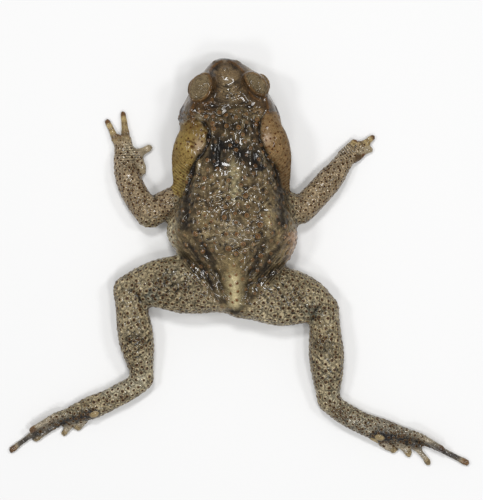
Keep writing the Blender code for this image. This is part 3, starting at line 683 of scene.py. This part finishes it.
PALE_LINES = (   # line in plan, half width, strength, colour
    (((17.6, -19.4), (17.4, -15), (16.4, -9.8)), 2.8, 0.5, "#b09b6e"),
    (((-14.2, -18.6), (-13.8, -14.4), (-13, -10)), 2.8, 0.7, "#c0aa7c"),
    (((4.6, -43), (2.8, -34), (3.2, -22)), 2.3, 0.8, "#b0a47c"),
    (((17.8, -35.5), (18.6, -26)), 2.4, 0.35, "#968562"),
    (((33.2, -16), (35.4, -8), (34, 0), (31, 6)), 3, 1, "#ded0a8"),
    (((-24, -10), (-26.2, -3), (-25.4, 3), (-23, 7.5)), 3.2, 1, "#cda88a"),
    (((44, 60), (54, 64), (68, 69)), 4.4, 0.9, "#cfc5a8"),
    (((-40, 68), (-52, 74), (-66, 80)), 4.4, 0.85, "#cbc0a2"),
    (((42, 49), (45, 60)), 5, 0.85, "#c9bd9d"), (((-38, 57), (-44, 69)), 4.6, 0.75, "#c2b595"),
    (((59, 12), (50, 6.6), (38, 4), (28, 3.4)), 2.6, 0.6, "#bfb086"),
    (((-42, 18), (-34, 11.6), (-26, 8.6)), 2.6, 0.6, "#bfb086"),
    (((57.6, -46), (60, -38), (58, -28)), 3, 0.5, "#c4b195"),
    (((48, -46), (57, -48)), 4.6, 0.7, "#cdbfa1"),
    (((-34, -34), (-44, -44), (-52, -50)), 3, 0.5, "#c4b195"),
    (((45.6, 20.4), (39.6, 24.2)), 3, 0.85, "#83867a"),
    (((-30.4, 27), (-36.4, 33)), 3.2, 0.9, "#6f7468"),
    (((13.4, -84.6), (12.6, -80.6), (12.4, -77), (13.4, -73)), 1.5, 0.8, "#4f361a"),
    (((-0.4, -84), (-0.6, -80.6), (-1.8, -77), (-4.4, -73.6)), 1.5, 0.8, "#4f361a"),
    (((-43, -43.4), (-48, -47.6), (-52.6, -51.6)), 2, 0.8, "#cabda6"),
    (((-53, -41), (-55.4, -43.4), (-58.2, -46)), 1.3, 1, "#4f3a25"),
    (((25, -69.4), (19, -67.4), (11.5, -66.4)), 3.2, 0.65, "#573a1a"),
    (((-2.5, -68.6), (-8, -68.4), (-13.5, -66.4)), 3.2, 0.65, "#573a1a"),
    (((16.2, -63), (13.4, -56), (12.6, -50)), 2.4, 0.5, "#5f3d1a"),
    (((-7.6, -63), (-7, -55), (-9.6, -48)), 2.4, 0.5, "#5f3d1a"),
    (((5.4, -14), (4.8, -8), (4.4, -1)), 6.5, 0.45, "#a59678"),
    (((28.6, -70), (29.2, -60)), 1.8, 0.9, "#4a4b50"),
    (((-15.2, -71), (-17.4, -64)), 1.2, 0.7, "#77736c"),
    (((14.8, -89.6), (16.6, -86.6)), 1, 0.7, "#8f8d8a"),
    (((-1, -89), (-4, -85.8)), 1, 0.3, "#77706a"),
)


def linear(hex_colour):
    """An sRGB hex colour as the linear colour that the shaders take."""
    parts = [int(hex_colour[i:i + 2], 16) / 255 for i in (1, 3, 5)]
    return np.array([v / 12.92 if v <= 0.04045 else ((v + 0.055) / 1.055) ** 2.4 for v in parts] + [1.0])


spots = numbers(skin.data.vertices, "co", 3) / MM
facing = numbers(skin.data.vertex_normals, "vector", 3)
plan = in_plan(spots)
wavy = plan + 0.9 * np.column_stack([speckle(spots, 2.6, seed) for seed in (31, 32)])
top = ramp(facing[:, 2], -0.25, 0.25)
broad = 0.5 + 0.5 * np.clip(speckle(spots, 8.0, 41) + 0.6 * speckle(spots, 3.6, 42), -1, 1)
small = 0.5 + 0.5 * np.clip(speckle(spots, 1.9, 43) + 0.5 * speckle(spots, 1.0, 44), -1, 1)
back = within(plan, TRUNK_OUTLINE, 6.0) * ramp(spots[:, 2], 5.0, 12.0)
head = (1 - ramp(spots[:, 1], -70.0, -64.0)) * ramp(spots[:, 2], 6.0, 10.0)
glands = {side: within(wavy, outline, 1.2 + 1.8 * (1 - top)) * ramp(spots[:, 2] + broad * 3.0, 10.5, 14.5)
          for side, outline in GLAND_OUTLINES.items()}
gland = glands["left"] + glands["right"]
arm = (1 - ramp(spots[:, 1], -24.0, -16.0)) * ramp(np.abs(plan[:, 0] - 3.0), 27.0, 31.0)
below = 1 - ramp(facing[:, 2], -0.6, -0.1)
which_digit, digit, to_tip = along_digits(spots)

# How far each point stands out of the skin around it, in millimetres.
around = skin.data.copy()
smooth_evenly(around, 7, 0.6, 0.0)
standing = ((spots - numbers(around.vertices, "co", 3) / MM) * facing).sum(axis=1)
bpy.data.meshes.remove(around)
# From this, raised places are painted lighter and hollows darker: painted light and painted shade.
crest_light, hollow_shade = ramp(standing, 0.02, 0.22), ramp(-standing, 0.02, 0.22)

tone = np.tile(linear("#cebc97"), (len(spots), 1))


def paint(colour, strength):
    """Lay a colour over the skin's tone by a strength at each point."""
    tone[:] += (linear(colour) - tone) * np.clip(strength, 0, 1)[:, None]


paint("#8a7c5b", 0.55 * broad)
paint("#c9bc9a", 0.9 * (1 - broad) * small)
paint("#4a3f2d", 0.36 * (1 - small) * broad)
paint("#a8a498", 0.6 * ramp(plan[:, 1], 74.0, 82.0))
paint("#a38d6e", 0.85 * arm)
paint("#bfab8b", arm * 0.5 * small)
body = np.maximum(back, head)
paint("#6b5431", 0.92 * body)
# Partly random mottling, and partly painted light on raised places and painted shade in hollows.
mottle_and_relief_shading = np.clip(0.55 * small + 0.45 * (0.5 + 0.6 * (crest_light - hollow_shade)), 0, 1)
paint("#bda87b", body * 0.95 * mottle_and_relief_shading * (0.3 + 0.7 * broad))
paint("#261b11", body * (1 - mottle_and_relief_shading) * (1 - 0.3 * broad))
paint("#80694b", head * 0.7 * (spots[:, 1] < -72))
paint("#b3a68a", 0.9 * below)
paint("#8f8571", below * 0.5 * broad)
for line, width, strength, colour in PALE_LINES:
    paint(colour, strength * along_line(wavy, line, width, 0.1) * np.maximum(top, 0.85))
# Dark streaks, with painted shade in the grooves and creases they follow.
for line, width, strength in DARK_AND_SHADED_LINES:
    paint("#211a12", strength * along_line(wavy, line, width, 0.08) * top * (0.6 + 0.4 * (1 - small)))
paint("#8b7140", 0.97 * glands["left"])
paint("#9e874a", glands["left"] * 0.8 * broad)
paint("#7d6241", 0.97 * glands["right"])
paint("#967a52", glands["right"] * 0.8 * broad)
paint("#4f3a20", gland * 0.55 * (1 - small) * (1 - 0.6 * broad))
# The brown patch on the left gland is its own colour. The two pale pinkish spots on the glands' inner
# fronts are painted highlights.
for colour, middle, radii in (
    ("#5f4826", (22.0, -58.6), (5.4, 4.4)),
    ("#b09a80", (20.4, -49.4), (2.2, 3.6)),
    ("#b59c82", (-12.4, -52.8), (1.8, 3.0)),
):
    paint(colour, 0.8 * np.exp(-(((wavy - middle) / radii) ** 2).sum(axis=1)) * gland)
paint("#b09858", 0.55 * glands["left"] * ramp(plan[:, 1], -44.0, -36.0))
blots = ramp(speckle(wavy[:, [0, 1, 1]], 1.5, 51), 0.5, 0.72)
paint("#402509", 0.9 * glands["left"] * blots * (1 - ramp(plan[:, 1], -36.0, -30.0)))
# A wide dark band round each ridge is painted shade on its slopes. The narrow rusty line on top is the
# ridge's own colour.
for line, width, _ in HEAD_RIDGES:
    paint("#2e2015", 0.75 * along_line(plan, line, width * 3.0, 0.05) * top)
    paint("#6c4920", 0.95 * along_line(plan, line, width * 0.9, 0.05) * top * (0.6 + 0.4 * small))
for side in EYES:
    reach, along, up, ahead = round_eye(side, spots)
    margin = lid_gap(along, up)
    rim = ramp(margin, 0.75, 0.95) * (1 - ramp(margin, 1.25, 1.6)) * (ahead > 0) * (reach < 8)
    paint("#6b4521", 0.8 * rim)
    # Painted shade: the lid's inner edge, where it dips under the eyeball, is painted nearly black.
    paint("#1b1510", 0.95 * (1 - ramp(margin, 0.85, 1.0)) * (ahead > 0) * (reach < 8))
for outline in LID_OUTLINES.values():
    lid, high = within(plan, outline, 1.0), ramp(spots[:, 2], 9.0, 13.0)
    paint("#8a7a5c", 0.8 * lid * high)
    paint("#4a3a24", 0.5 * (1 - small) * lid * high)
    paint("#6b4c25", (0.6 + 0.3 * small) * along_line(plan, outline + outline[:2], 0.5, 0.01) * high)
for target in EARDRUMS:
    gap = np.linalg.norm((spots - on_skin(np.array(target))) * (1, 0.95, 0.85), axis=1)
    paint("#6a4a2c", 0.8 * np.exp(-((gap - 3.1) / 0.7) ** 2))
    paint("#56565a", 0.9 * (1 - ramp(gap, 1.9, 2.9)))
paint("#8f8063", 0.6 * along_line(plan, BROW_HOLLOW, 2.6, 0.2) * top * (0.4 + 0.6 * small))
off_patches = [
    np.hypot((wavy[:, 0] - x) / wide, (wavy[:, 1] - y) / long) for x, y, wide, long in DARK_PATCHES
]
for off_patch in off_patches:
    paint("#15120f", 0.95 * top * (1 - ramp(off_patch, 0.5, 1.3)))
# Painted shade in the hollows, and painted light on the raised places.
paint("#1b150e", 0.9 * hollow_shade * (1 - 0.6 * gland))
paint("#b0a285", 0.4 * crest_light * (1 - gland) * (1 - head))
hand = is_finger[which_digit]
paint("#96835c", digit * 0.7 * hand)
paint("#b2a48d", digit * 0.75 * ~hand)
paint("#c0a873", digit * 0.7 * ramp(to_tip, 0.45, 0.6) * hand)
for joint in (0.34, 0.66):   # the dark creases of a finger's two joints
    paint("#5f4930", digit * 0.8 * np.exp(-((to_tip - joint) / 0.06) ** 2) * hand)
inner = np.isin(which_digit, (0, 1, 6))             # numbers of the digits in their table
paint("#a3957d", digit * 0.8 * inner)
darkest = which_digit == 7
paint("#4f3a25", digit * 0.9 * darkest)
paint("#5c3719", digit * 0.9 * ramp(to_tip, 0.84, 0.93) * hand * ~inner)
paint("#9c8559", digit * 0.7 * ramp(to_tip, 0.86, 0.95) * ~hand)
outer_toes = np.isin(which_digit, (11, 12, 16, 17))
paint("#75543a", digit * 0.8 * ramp(to_tip, 0.88, 0.96) * outer_toes)

nearest, gap, to_border = nearest_warts(spots)
kind = kinds[nearest]
on_thorn = kind == "thorn"
on_knob = kind == "knob"
# Painted shade in the creases between the warts, stronger round thorns than round knobs.
shade_between_warts = (1 - ramp(to_border, 0.1, 1.0)) * (0.35 + 0.65 * small) * (on_thorn + 0.45 * on_knob)
paint("#33281a", 0.8 * shade_between_warts * (1 - below) * (1 - 0.6 * digit) * (1 - 0.25 * arm))
# Darker again: the dark streaks, and the painted shade in the grooves and creases.
for line, width, strength in DARK_AND_SHADED_LINES:
    paint("#211a12", 0.55 * strength * along_line(wavy, line, width, 0.08) * top)
for line in (((12.5, -50.0), (11.6, -39.0)), ((3.0, -49.0), (-4.0, -44.0), (-9.0, -38.0))):
    paint("#17120d", 0.5 * along_line(wavy, line, 4.5, 0.1) * top)
for line, width, strength in DARK_AND_SHADED_LINES[-2:]:
    paint("#35353a", 0.75 * along_line(wavy, line, width, 0.05) * (0.5 + 0.5 * (1 - small)) * top)
pads = on_pads(plan)
paint("#2c2620", 0.8 * ramp(pads, -0.7, -0.1) * (pads < 0.15) * top)
paint("#a08c66", 0.95 * ramp(pads, 0.0, 0.3) * top)
for off_patch in off_patches:
    paint("#15120f", 0.8 * top * (1 - ramp(off_patch, 0.6, 1.2)))
paint("#94825a", 0.8 * along_line(wavy, ((5.0, 0.0), (4.4, 8.0), (3.8, 16.0), (3.4, 24.0)), 4.6, 0.2) * top)
paint("#c9ba8e", along_line(wavy, ((4.0, 10.0), (3.6, 17.0), (3.2, 23.0), (3.0, 29.5)), 2.9, 0.22) * top)

# Fine wrinkles run along the groins, wrists, thighs and shanks, and in arcs round the rear of
# each gland. Where they are strongest, each point notes how many of them it is across.
WRINKLE_STEP = 1.15      # millimetres between wrinkles where no other spacing is given
WRINKLES = (   # middle line of a patch of wrinkles, half width, strength, spacing
    (((28, 2), (21.6, 9), (14.6, 18)), 5.5, 1, 1.15),
    (((-22, 3.6), (-15.2, 10.4), (-8.6, 18.6)), 5.5, 1, 1.15),
    (((47, -46), (53, -45), (60, -45.6)), 5, 1, 1.15),
    (((-45, -52), (-49, -48), (-52, -43)), 4, 1, 1.15),
    (((26, 10), (34, 20), (42, 30)), 10, 1, 3.4), (((-14, 12), (-22, 24), (-30, 36)), 10, 1, 3.4),
    (((40, 38), (50, 46), (58, 52)), 8, 0.9, 2.6), (((-34, 48), (-42, 56), (-48, 62)), 8, 0.9, 2.6),
)
GLAND_WRINKLES = {"left": (15.9, -53.2), "right": (-9.6, -50.0)}   # the middles of their arcs
wrinkled, crossing = np.zeros(len(spots)), np.zeros(len(spots))
for line, width, strength, spacing in WRINKLES:
    (x0, y0), (x1, y1) = line[0], line[-1]
    strength = strength * along_line(plan, line, width, 0.2)
    across = (plan[:, 0] - x0) * (y1 - y0) - (plan[:, 1] - y0) * (x1 - x0)
    across = across / math.hypot(x1 - x0, y1 - y0) * WRINKLE_STEP / spacing
    crossing = np.where(strength > wrinkled, across, crossing)
    wrinkled = np.maximum(wrinkled, strength)
for side, centre in GLAND_WRINKLES.items():
    strength = 0.65 * glands[side] * ramp(plan[:, 1], -50.0, -36.0)
    crossing = np.where(strength > wrinkled, np.hypot(*(plan - centre).T), crossing)
    wrinkled = np.maximum(wrinkled, strength)

# A wet film lies thickest on the back and head. The grain of the hide shows most on the
# legs, and less on the smoother places here.
on_lid = np.maximum(*[within(plan, outline, 1.5) for outline in LID_OUTLINES.values()]) * head
brow = along_line(plan, BROW_HOLLOW, 6.0, 0.1) * (1 - ramp(plan[:, 1], -76.0, -72.5))
wet = (0.32 * body + 0.52 + 0.1 * arm) * (1 - 0.55 * gland)
wet = np.clip(wet * (1 - 0.4 * on_lid) * (1 - 0.1 * brow), 0, 1)
wet -= 0.4 * along_line(plan, ((10.0, -70.0), (5.0, -64.0), (3.0, -55.0)), 9.0, 0.1)
spine = along_line(plan, ((4.8, 4.0), (4.0, 14.0), (3.3, 21.0), (3.0, 29.5)), 3.0, 0.2)
smoother = sum(share * area for area, share in (
    (gland, 0.5), (on_lid, 0.2), (brow, 0.1), (head, 0.25), (digit, 0.25), (spine, 0.5),
    (ramp(pads, -0.1, 0.2), 0.7), (back, 0.4), (arm, 0.4), ((1 - back) * (1 - arm), 0.15),
))
grain = 1 - np.clip(smoother, 0, 0.7)
for name, kind_of_data, values in (
    ("tone", "FLOAT_COLOR", tone),
    ("from_wart", "FLOAT_VECTOR", spots - wart_tops[nearest]),
    ("wart_gap", "FLOAT", gap),
    ("wart_size", "FLOAT", wart_sizes[nearest, 0]),
    ("thorned", "FLOAT", on_thorn * (1 - below)),
    ("pored", "FLOAT", (kind == "pore") * np.clip(1.5 * wart_strengths[nearest], 0, 1)),
    ("knobbed", "FLOAT", on_knob * top * wart_strengths[nearest]),
    ("crossing", "FLOAT", crossing),
    ("wrinkled", "FLOAT", wrinkled),
    ("wet", "FLOAT", wet),
    ("grain", "FLOAT", grain),
):
    layer = skin.data.attributes.new(name, kind_of_data, "POINT")
    field = {"FLOAT_COLOR": "color", "FLOAT_VECTOR": "vector", "FLOAT": "value"}[kind_of_data]
    layer.data.foreach_set(field, np.asarray(values, dtype=np.float32).ravel())


def add_node(tree, kind, output=0, **facts):
    """Add a node and give back one of its outputs. Facts are settings of the node, or inputs
    by name or number (i0, i1), which take values or other nodes' outputs."""
    node = tree.nodes.new("ShaderNode" + kind)
    for name, fact in facts.items():
        if hasattr(node, name):
            setattr(node, name, fact)
            continue
        socket = node.inputs[int(name[1:]) if name[1:].isdigit() else name]
        if isinstance(fact, bpy.types.NodeSocket):
            tree.links.new(fact, socket)
        else:
            socket.default_value = fact
    return node.outputs[output]


# Hide: moist toad skin. Its tone lies in the mesh; a net of fine granules, the warts' brown
# tips and a wet film are added here, down to the grain that the photograph just shows.
GRANULE = 1.15 * MM
hide = bpy.data.materials.new("moist_toad_hide")
hide.use_nodes = True
tree = hide.node_tree
surface = tree.nodes["Principled BSDF"]
marks = {
    name: add_node(tree, "Attribute", attribute_name=name).node.outputs
    for name in ("tone", "from_wart", "wart_gap", "wart_size", "thorned", "knobbed", "pored",
                 "crossing", "wrinkled", "wet", "grain")
}
where = add_node(tree, "TexCoord", "Object")
drift = add_node(tree, "TexNoise", "Color", Vector=where, Scale=700.0, Detail=2.0)
bent = add_node(tree, "VectorMath", operation="MULTIPLY_ADD", i0=drift, i1=(MM,) * 3, i2=where)
mottle = add_node(tree, "TexNoise", Vector=where, Scale=420.0, Detail=4.0, Roughness=0.6)
blotch = add_node(tree, "MapRange", interpolation_type="SMOOTHSTEP", i0=mottle, i1=0.34, i2=0.66)
fleck = add_node(tree, "TexNoise", Vector=where, Scale=1500.0, Detail=3.0, Roughness=0.65)
net = add_node(tree, "TexVoronoi", "Distance", feature="DISTANCE_TO_EDGE", Vector=bent, Scale=1 / GRANULE)
granule_light_and_shade = add_node(tree, "MapRange", interpolation_type="SMOOTHSTEP", i0=net, i1=0.0, i2=0.32)
pale_tip_and_glint = add_node(tree, "MapRange", interpolation_type="SMOOTHSTEP", i0=fleck, i1=0.56, i2=0.70)
# Painted light on the granules' tops and painted shade in the creases between them, the mottling, and pale
# flecks that are partly painted glints multiply the tone.
lightness = -0.92
for texture, share in ((granule_light_and_shade, 0.7), (blotch, 0.75), (pale_tip_and_glint, 0.9)):
    lightness = add_node(tree, "Math", operation="MULTIPLY_ADD", i0=texture, i1=share, i2=lightness)
lightness = add_node(tree, "Math", operation="MULTIPLY_ADD",
                     i0=lightness, i1=marks["grain"]["Fac"], i2=0.98)
# Wrinkles are narrow grooves, which stray with the mottling.
stray = add_node(tree, "Math", operation="MULTIPLY", i0=mottle, i1=6.0)
sway = add_node(tree, "Math", operation="MULTIPLY_ADD",
                i0=marks["crossing"]["Fac"], i1=2 * math.pi / WRINKLE_STEP, i2=stray)
wrinkle = add_node(tree, "Math", operation="SINE", i0=sway)
wrinkle = add_node(tree, "MapRange", interpolation_type="SMOOTHSTEP",
                   i0=wrinkle, i1=-1.0, i2=0.0, i3=-1.0, i4=0.35)
wrinkle = add_node(tree, "Math", operation="MULTIPLY", i0=wrinkle, i1=marks["wrinkled"]["Fac"])
# The wrinkles' grooves are darkened in the colour too: painted shade.
lightness = add_node(tree, "Math", operation="MULTIPLY_ADD", i0=wrinkle, i1=0.4, i2=lightness)
colour = add_node(tree, "VectorMath", operation="SCALE", i0=marks["tone"]["Color"], Scale=lightness)
# The warts' tips: thorns are dark, knobs rusty with a dark rim of painted shade at their
# foot, and the glands' pores small and brown.
off_wart = add_node(tree, "VectorMath", "Value", operation="LENGTH", i0=marks["from_wart"]["Vector"])
off_wart = add_node(tree, "Math", operation="MULTIPLY_ADD", i0=fleck, i1=0.35, i2=off_wart)
off_wart = add_node(tree, "Math", operation="SUBTRACT", i0=off_wart, i1=0.17)
size = marks["wart_size"]["Fac"]
share = add_node(tree, "Math", operation="DIVIDE", i0=off_wart, i1=size)
gap_share = add_node(tree, "Math", operation="DIVIDE", i0=marks["wart_gap"]["Fac"], i1=size)
inside = add_node(tree, "MapRange", interpolation_type="SMOOTHSTEP",
                  i0=gap_share, i1=0.85, i2=1.2, i3=1.0, i4=0.0)
for mask, source, stops in (   # stops: share of the radius, or millimetres; colour; strength
    ("thorned", share, ((0.36, "#35210f", 1.0), (0.60, "#523619", 0.9), (0.78, "#7a5c32", 0.5),
                        (0.92, "#a8976f", 0.25), (1.0, "#a8976f", 0.0))),
    # the knobs' dark outer stop is painted shade at the foot of each dome
    ("knobbed", share, ((0.25, "#563412", 0.9), (0.55, "#785129", 0.85), (0.76, "#86663e", 0.6),
                        (0.9, "#5a4329", 0.35), (1.0, "#2d2116", 0.5))),
    ("pored", off_wart, ((0.26, "#3a200c", 0.95), (0.42, "#55300f", 0.85), (0.6, "#6f4a1e", 0.45),
                         (0.76, "#7b653c", 0.0), (1.0, "#7b653c", 0.0))),
):
    band = add_node(tree, "ValToRGB", Fac=source)
    while len(band.node.color_ramp.elements) < len(stops):
        band.node.color_ramp.elements.new(0.5)
    for element, (place, hex_colour, strength) in zip(band.node.color_ramp.elements, stops):
        element.position = place
        element.color = (*linear(hex_colour)[:3], strength)
    amount = add_node(tree, "Math", operation="MULTIPLY",
                      i0=band.node.outputs["Alpha"], i1=marks[mask]["Fac"])
    amount = add_node(tree, "Math", operation="MULTIPLY", i0=amount, i1=inside)
    colour = add_node(tree, "Mix", 2, data_type="RGBA", i0=amount, i6=colour, i7=band)
tree.links.new(colour, surface.inputs["Base Color"])
rough = add_node(tree, "MapRange", i0=marks["wet"]["Fac"], i1=0.0, i2=1.0, i3=0.55, i4=0.3)
tree.links.new(rough, surface.inputs["Roughness"])
tree.links.new(marks["wet"]["Fac"], surface.inputs["Coat Weight"])
for name, value in (("Specular IOR Level", 0.06), ("Coat Roughness", 0.11), ("Coat IOR", 1.38)):
    surface.inputs[name].default_value = value
# The same granules, flecks, wrinkles and mottling stand out in relief and break up the shine.
relief = add_node(tree, "MapRange", interpolation_type="SMOOTHSTEP", i0=net, i1=0.0, i2=0.55, i4=1.5)
for texture, share in ((fleck, 1.1), (wrinkle, 1.0), (mottle, 1.4)):
    relief = add_node(tree, "Math", operation="MULTIPLY_ADD", i0=texture, i1=share, i2=relief)
depth = add_node(tree, "MapRange", i0=marks["grain"]["Fac"], i1=0.3, i2=1.0, i3=0.55, i4=1.0)
relief = add_node(tree, "Math", operation="MULTIPLY", i0=relief, i1=depth)
bump = add_node(tree, "Bump", Strength=1.0, Distance=0.6 * MM, Height=relief)
tree.links.new(bump, surface.inputs["Normal"])
skin.data.materials.append(hide)

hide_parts(*[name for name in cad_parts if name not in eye_nodes])
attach(skin, "root")

# ---------------------------------------------------------------------------
# Eyes. Each is a wet clear ball under the lids: a golden iris veined with black round a pupil
# that lies level, dark towards the eye's edge.
PUPIL = (27.0, 13.0)     # half its length and height, in degrees round the eye
IRIS_REACH = 52.0

eyeball = bpy.data.materials.new("wet_golden_eye")
eyeball.use_nodes = True
tree = eyeball.node_tree
surface = tree.nodes["Principled BSDF"]
where = add_node(tree, "TexCoord", "Object")
veins = add_node(tree, "TexNoise", Vector=where, Scale=1500.0, Detail=5.0, Roughness=0.7)
colour = add_node(tree, "ValToRGB", Fac=veins)
shades = ((0.42, "#2a1a08"), (0.62, "#b98a34"))
for element, (place, hex_colour) in zip(colour.node.color_ramp.elements, shades):
    element.position = place
    element.color = linear(hex_colour)
for name, low, high, hex_colour in (   # the pale rim of the pupil, the pupil, the eye's edge
    ("from_pupil", 1.30, 1.12, "#d2a850"),
    ("from_pupil", 1.06, 0.98, "#050403"),
    ("from_middle", 0.86, 1.05, "#120c06"),
):
    mark = add_node(tree, "Attribute", "Fac", attribute_name=name)
    mark = add_node(tree, "MapRange", interpolation_type="SMOOTHSTEP", i0=mark, i1=low, i2=high)
    colour = add_node(tree, "Mix", 2, data_type="RGBA", i0=mark, i6=colour, i7=linear(hex_colour))
tree.links.new(colour, surface.inputs["Base Color"])
for name, value in (("Roughness", 0.25), ("Specular IOR Level", 0.1), ("Coat Weight", 1.0),
                    ("Coat IOR", 1.38), ("Coat Roughness", 0.02)):
    surface.inputs[name].default_value = value
for side, (centre, _) in EYES.items():
    bpy.ops.object.select_all(action="DESELECT")
    bpy.ops.mesh.primitive_uv_sphere_add(
        segments=56, ring_count=40, radius=EYE_RADIUS * MM, location=centre * MM)
    bpy.ops.object.transform_apply(location=True, rotation=True, scale=True)
    bpy.ops.object.shade_smooth()
    eye = bpy.context.object
    eye.name = eye.data.name = "eyeball_" + side
    _, along, up, ahead = round_eye(side, numbers(eye.data.vertices, "co", 3) / MM)
    for name, values in (
        ("from_pupil", np.hypot(along / PUPIL[0], up / PUPIL[1])),
        ("from_middle", np.degrees(np.arccos(np.clip(ahead, -1, 1))) / IRIS_REACH),
    ):
        eye.data.attributes.new(name, "FLOAT", "POINT").data.foreach_set("value", values.astype(np.float32))
    eye.data.materials.append(eyeball)
    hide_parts("eye_" + side)
    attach(eye, "root")

# ---------------------------------------------------------------------------
# Floor and light: a plain pale floor, a large soft light over the toad's head and a
# weaker one on each other side, in a pale room.
bpy.ops.object.select_all(action="DESELECT")
bpy.ops.mesh.primitive_plane_add(size=6.0, location=(0, 0, -0.0001))
floor = bpy.context.object
floor.name = "floor"
pale = bpy.data.materials.new("pale_matt_floor")
pale.use_nodes = True
surface = pale.node_tree.nodes["Principled BSDF"]
for name, value in (("Base Color", linear("#e3e3e3")), ("Roughness", 0.95), ("Specular IOR Level", 0.0)):
    surface.inputs[name].default_value = value
floor.data.materials.append(pale)
for name, place, size, power in (
    ("key_light", (0.10, -0.52, 1.02), (0.22, 0.18), 4.6),
    ("crown_light", (-0.34, 0.30, 1.05), (0.19, 0.19), 3.1),
    ("left_light", (0.62, -0.05, 0.95), (0.19, 0.19), 2.4),
    ("right_light", (-0.66, -0.18, 0.92), (0.19, 0.19), 2.2),
    ("tail_light", (0.05, 0.66, 0.95), (0.19, 0.19), 1.75),
):
    bpy.ops.object.light_add(type="AREA", location=place)
    light = bpy.context.object
    light.name = name
    light.rotation_euler = (-Vector(place)).to_track_quat("-Z", "Y").to_euler()
    light.data.shape = "RECTANGLE"
    light.data.size, light.data.size_y = size
    light.data.energy = power
room = bpy.data.worlds.new("pale_room")
room.use_nodes = True
room.node_tree.nodes["Background"].inputs["Color"].default_value = (1, 1, 1, 1)
room.node_tree.nodes["Background"].inputs["Strength"].default_value = 0.335
bpy.context.scene.world = room
bpy.context.scene.view_settings.view_transform = "Standard"
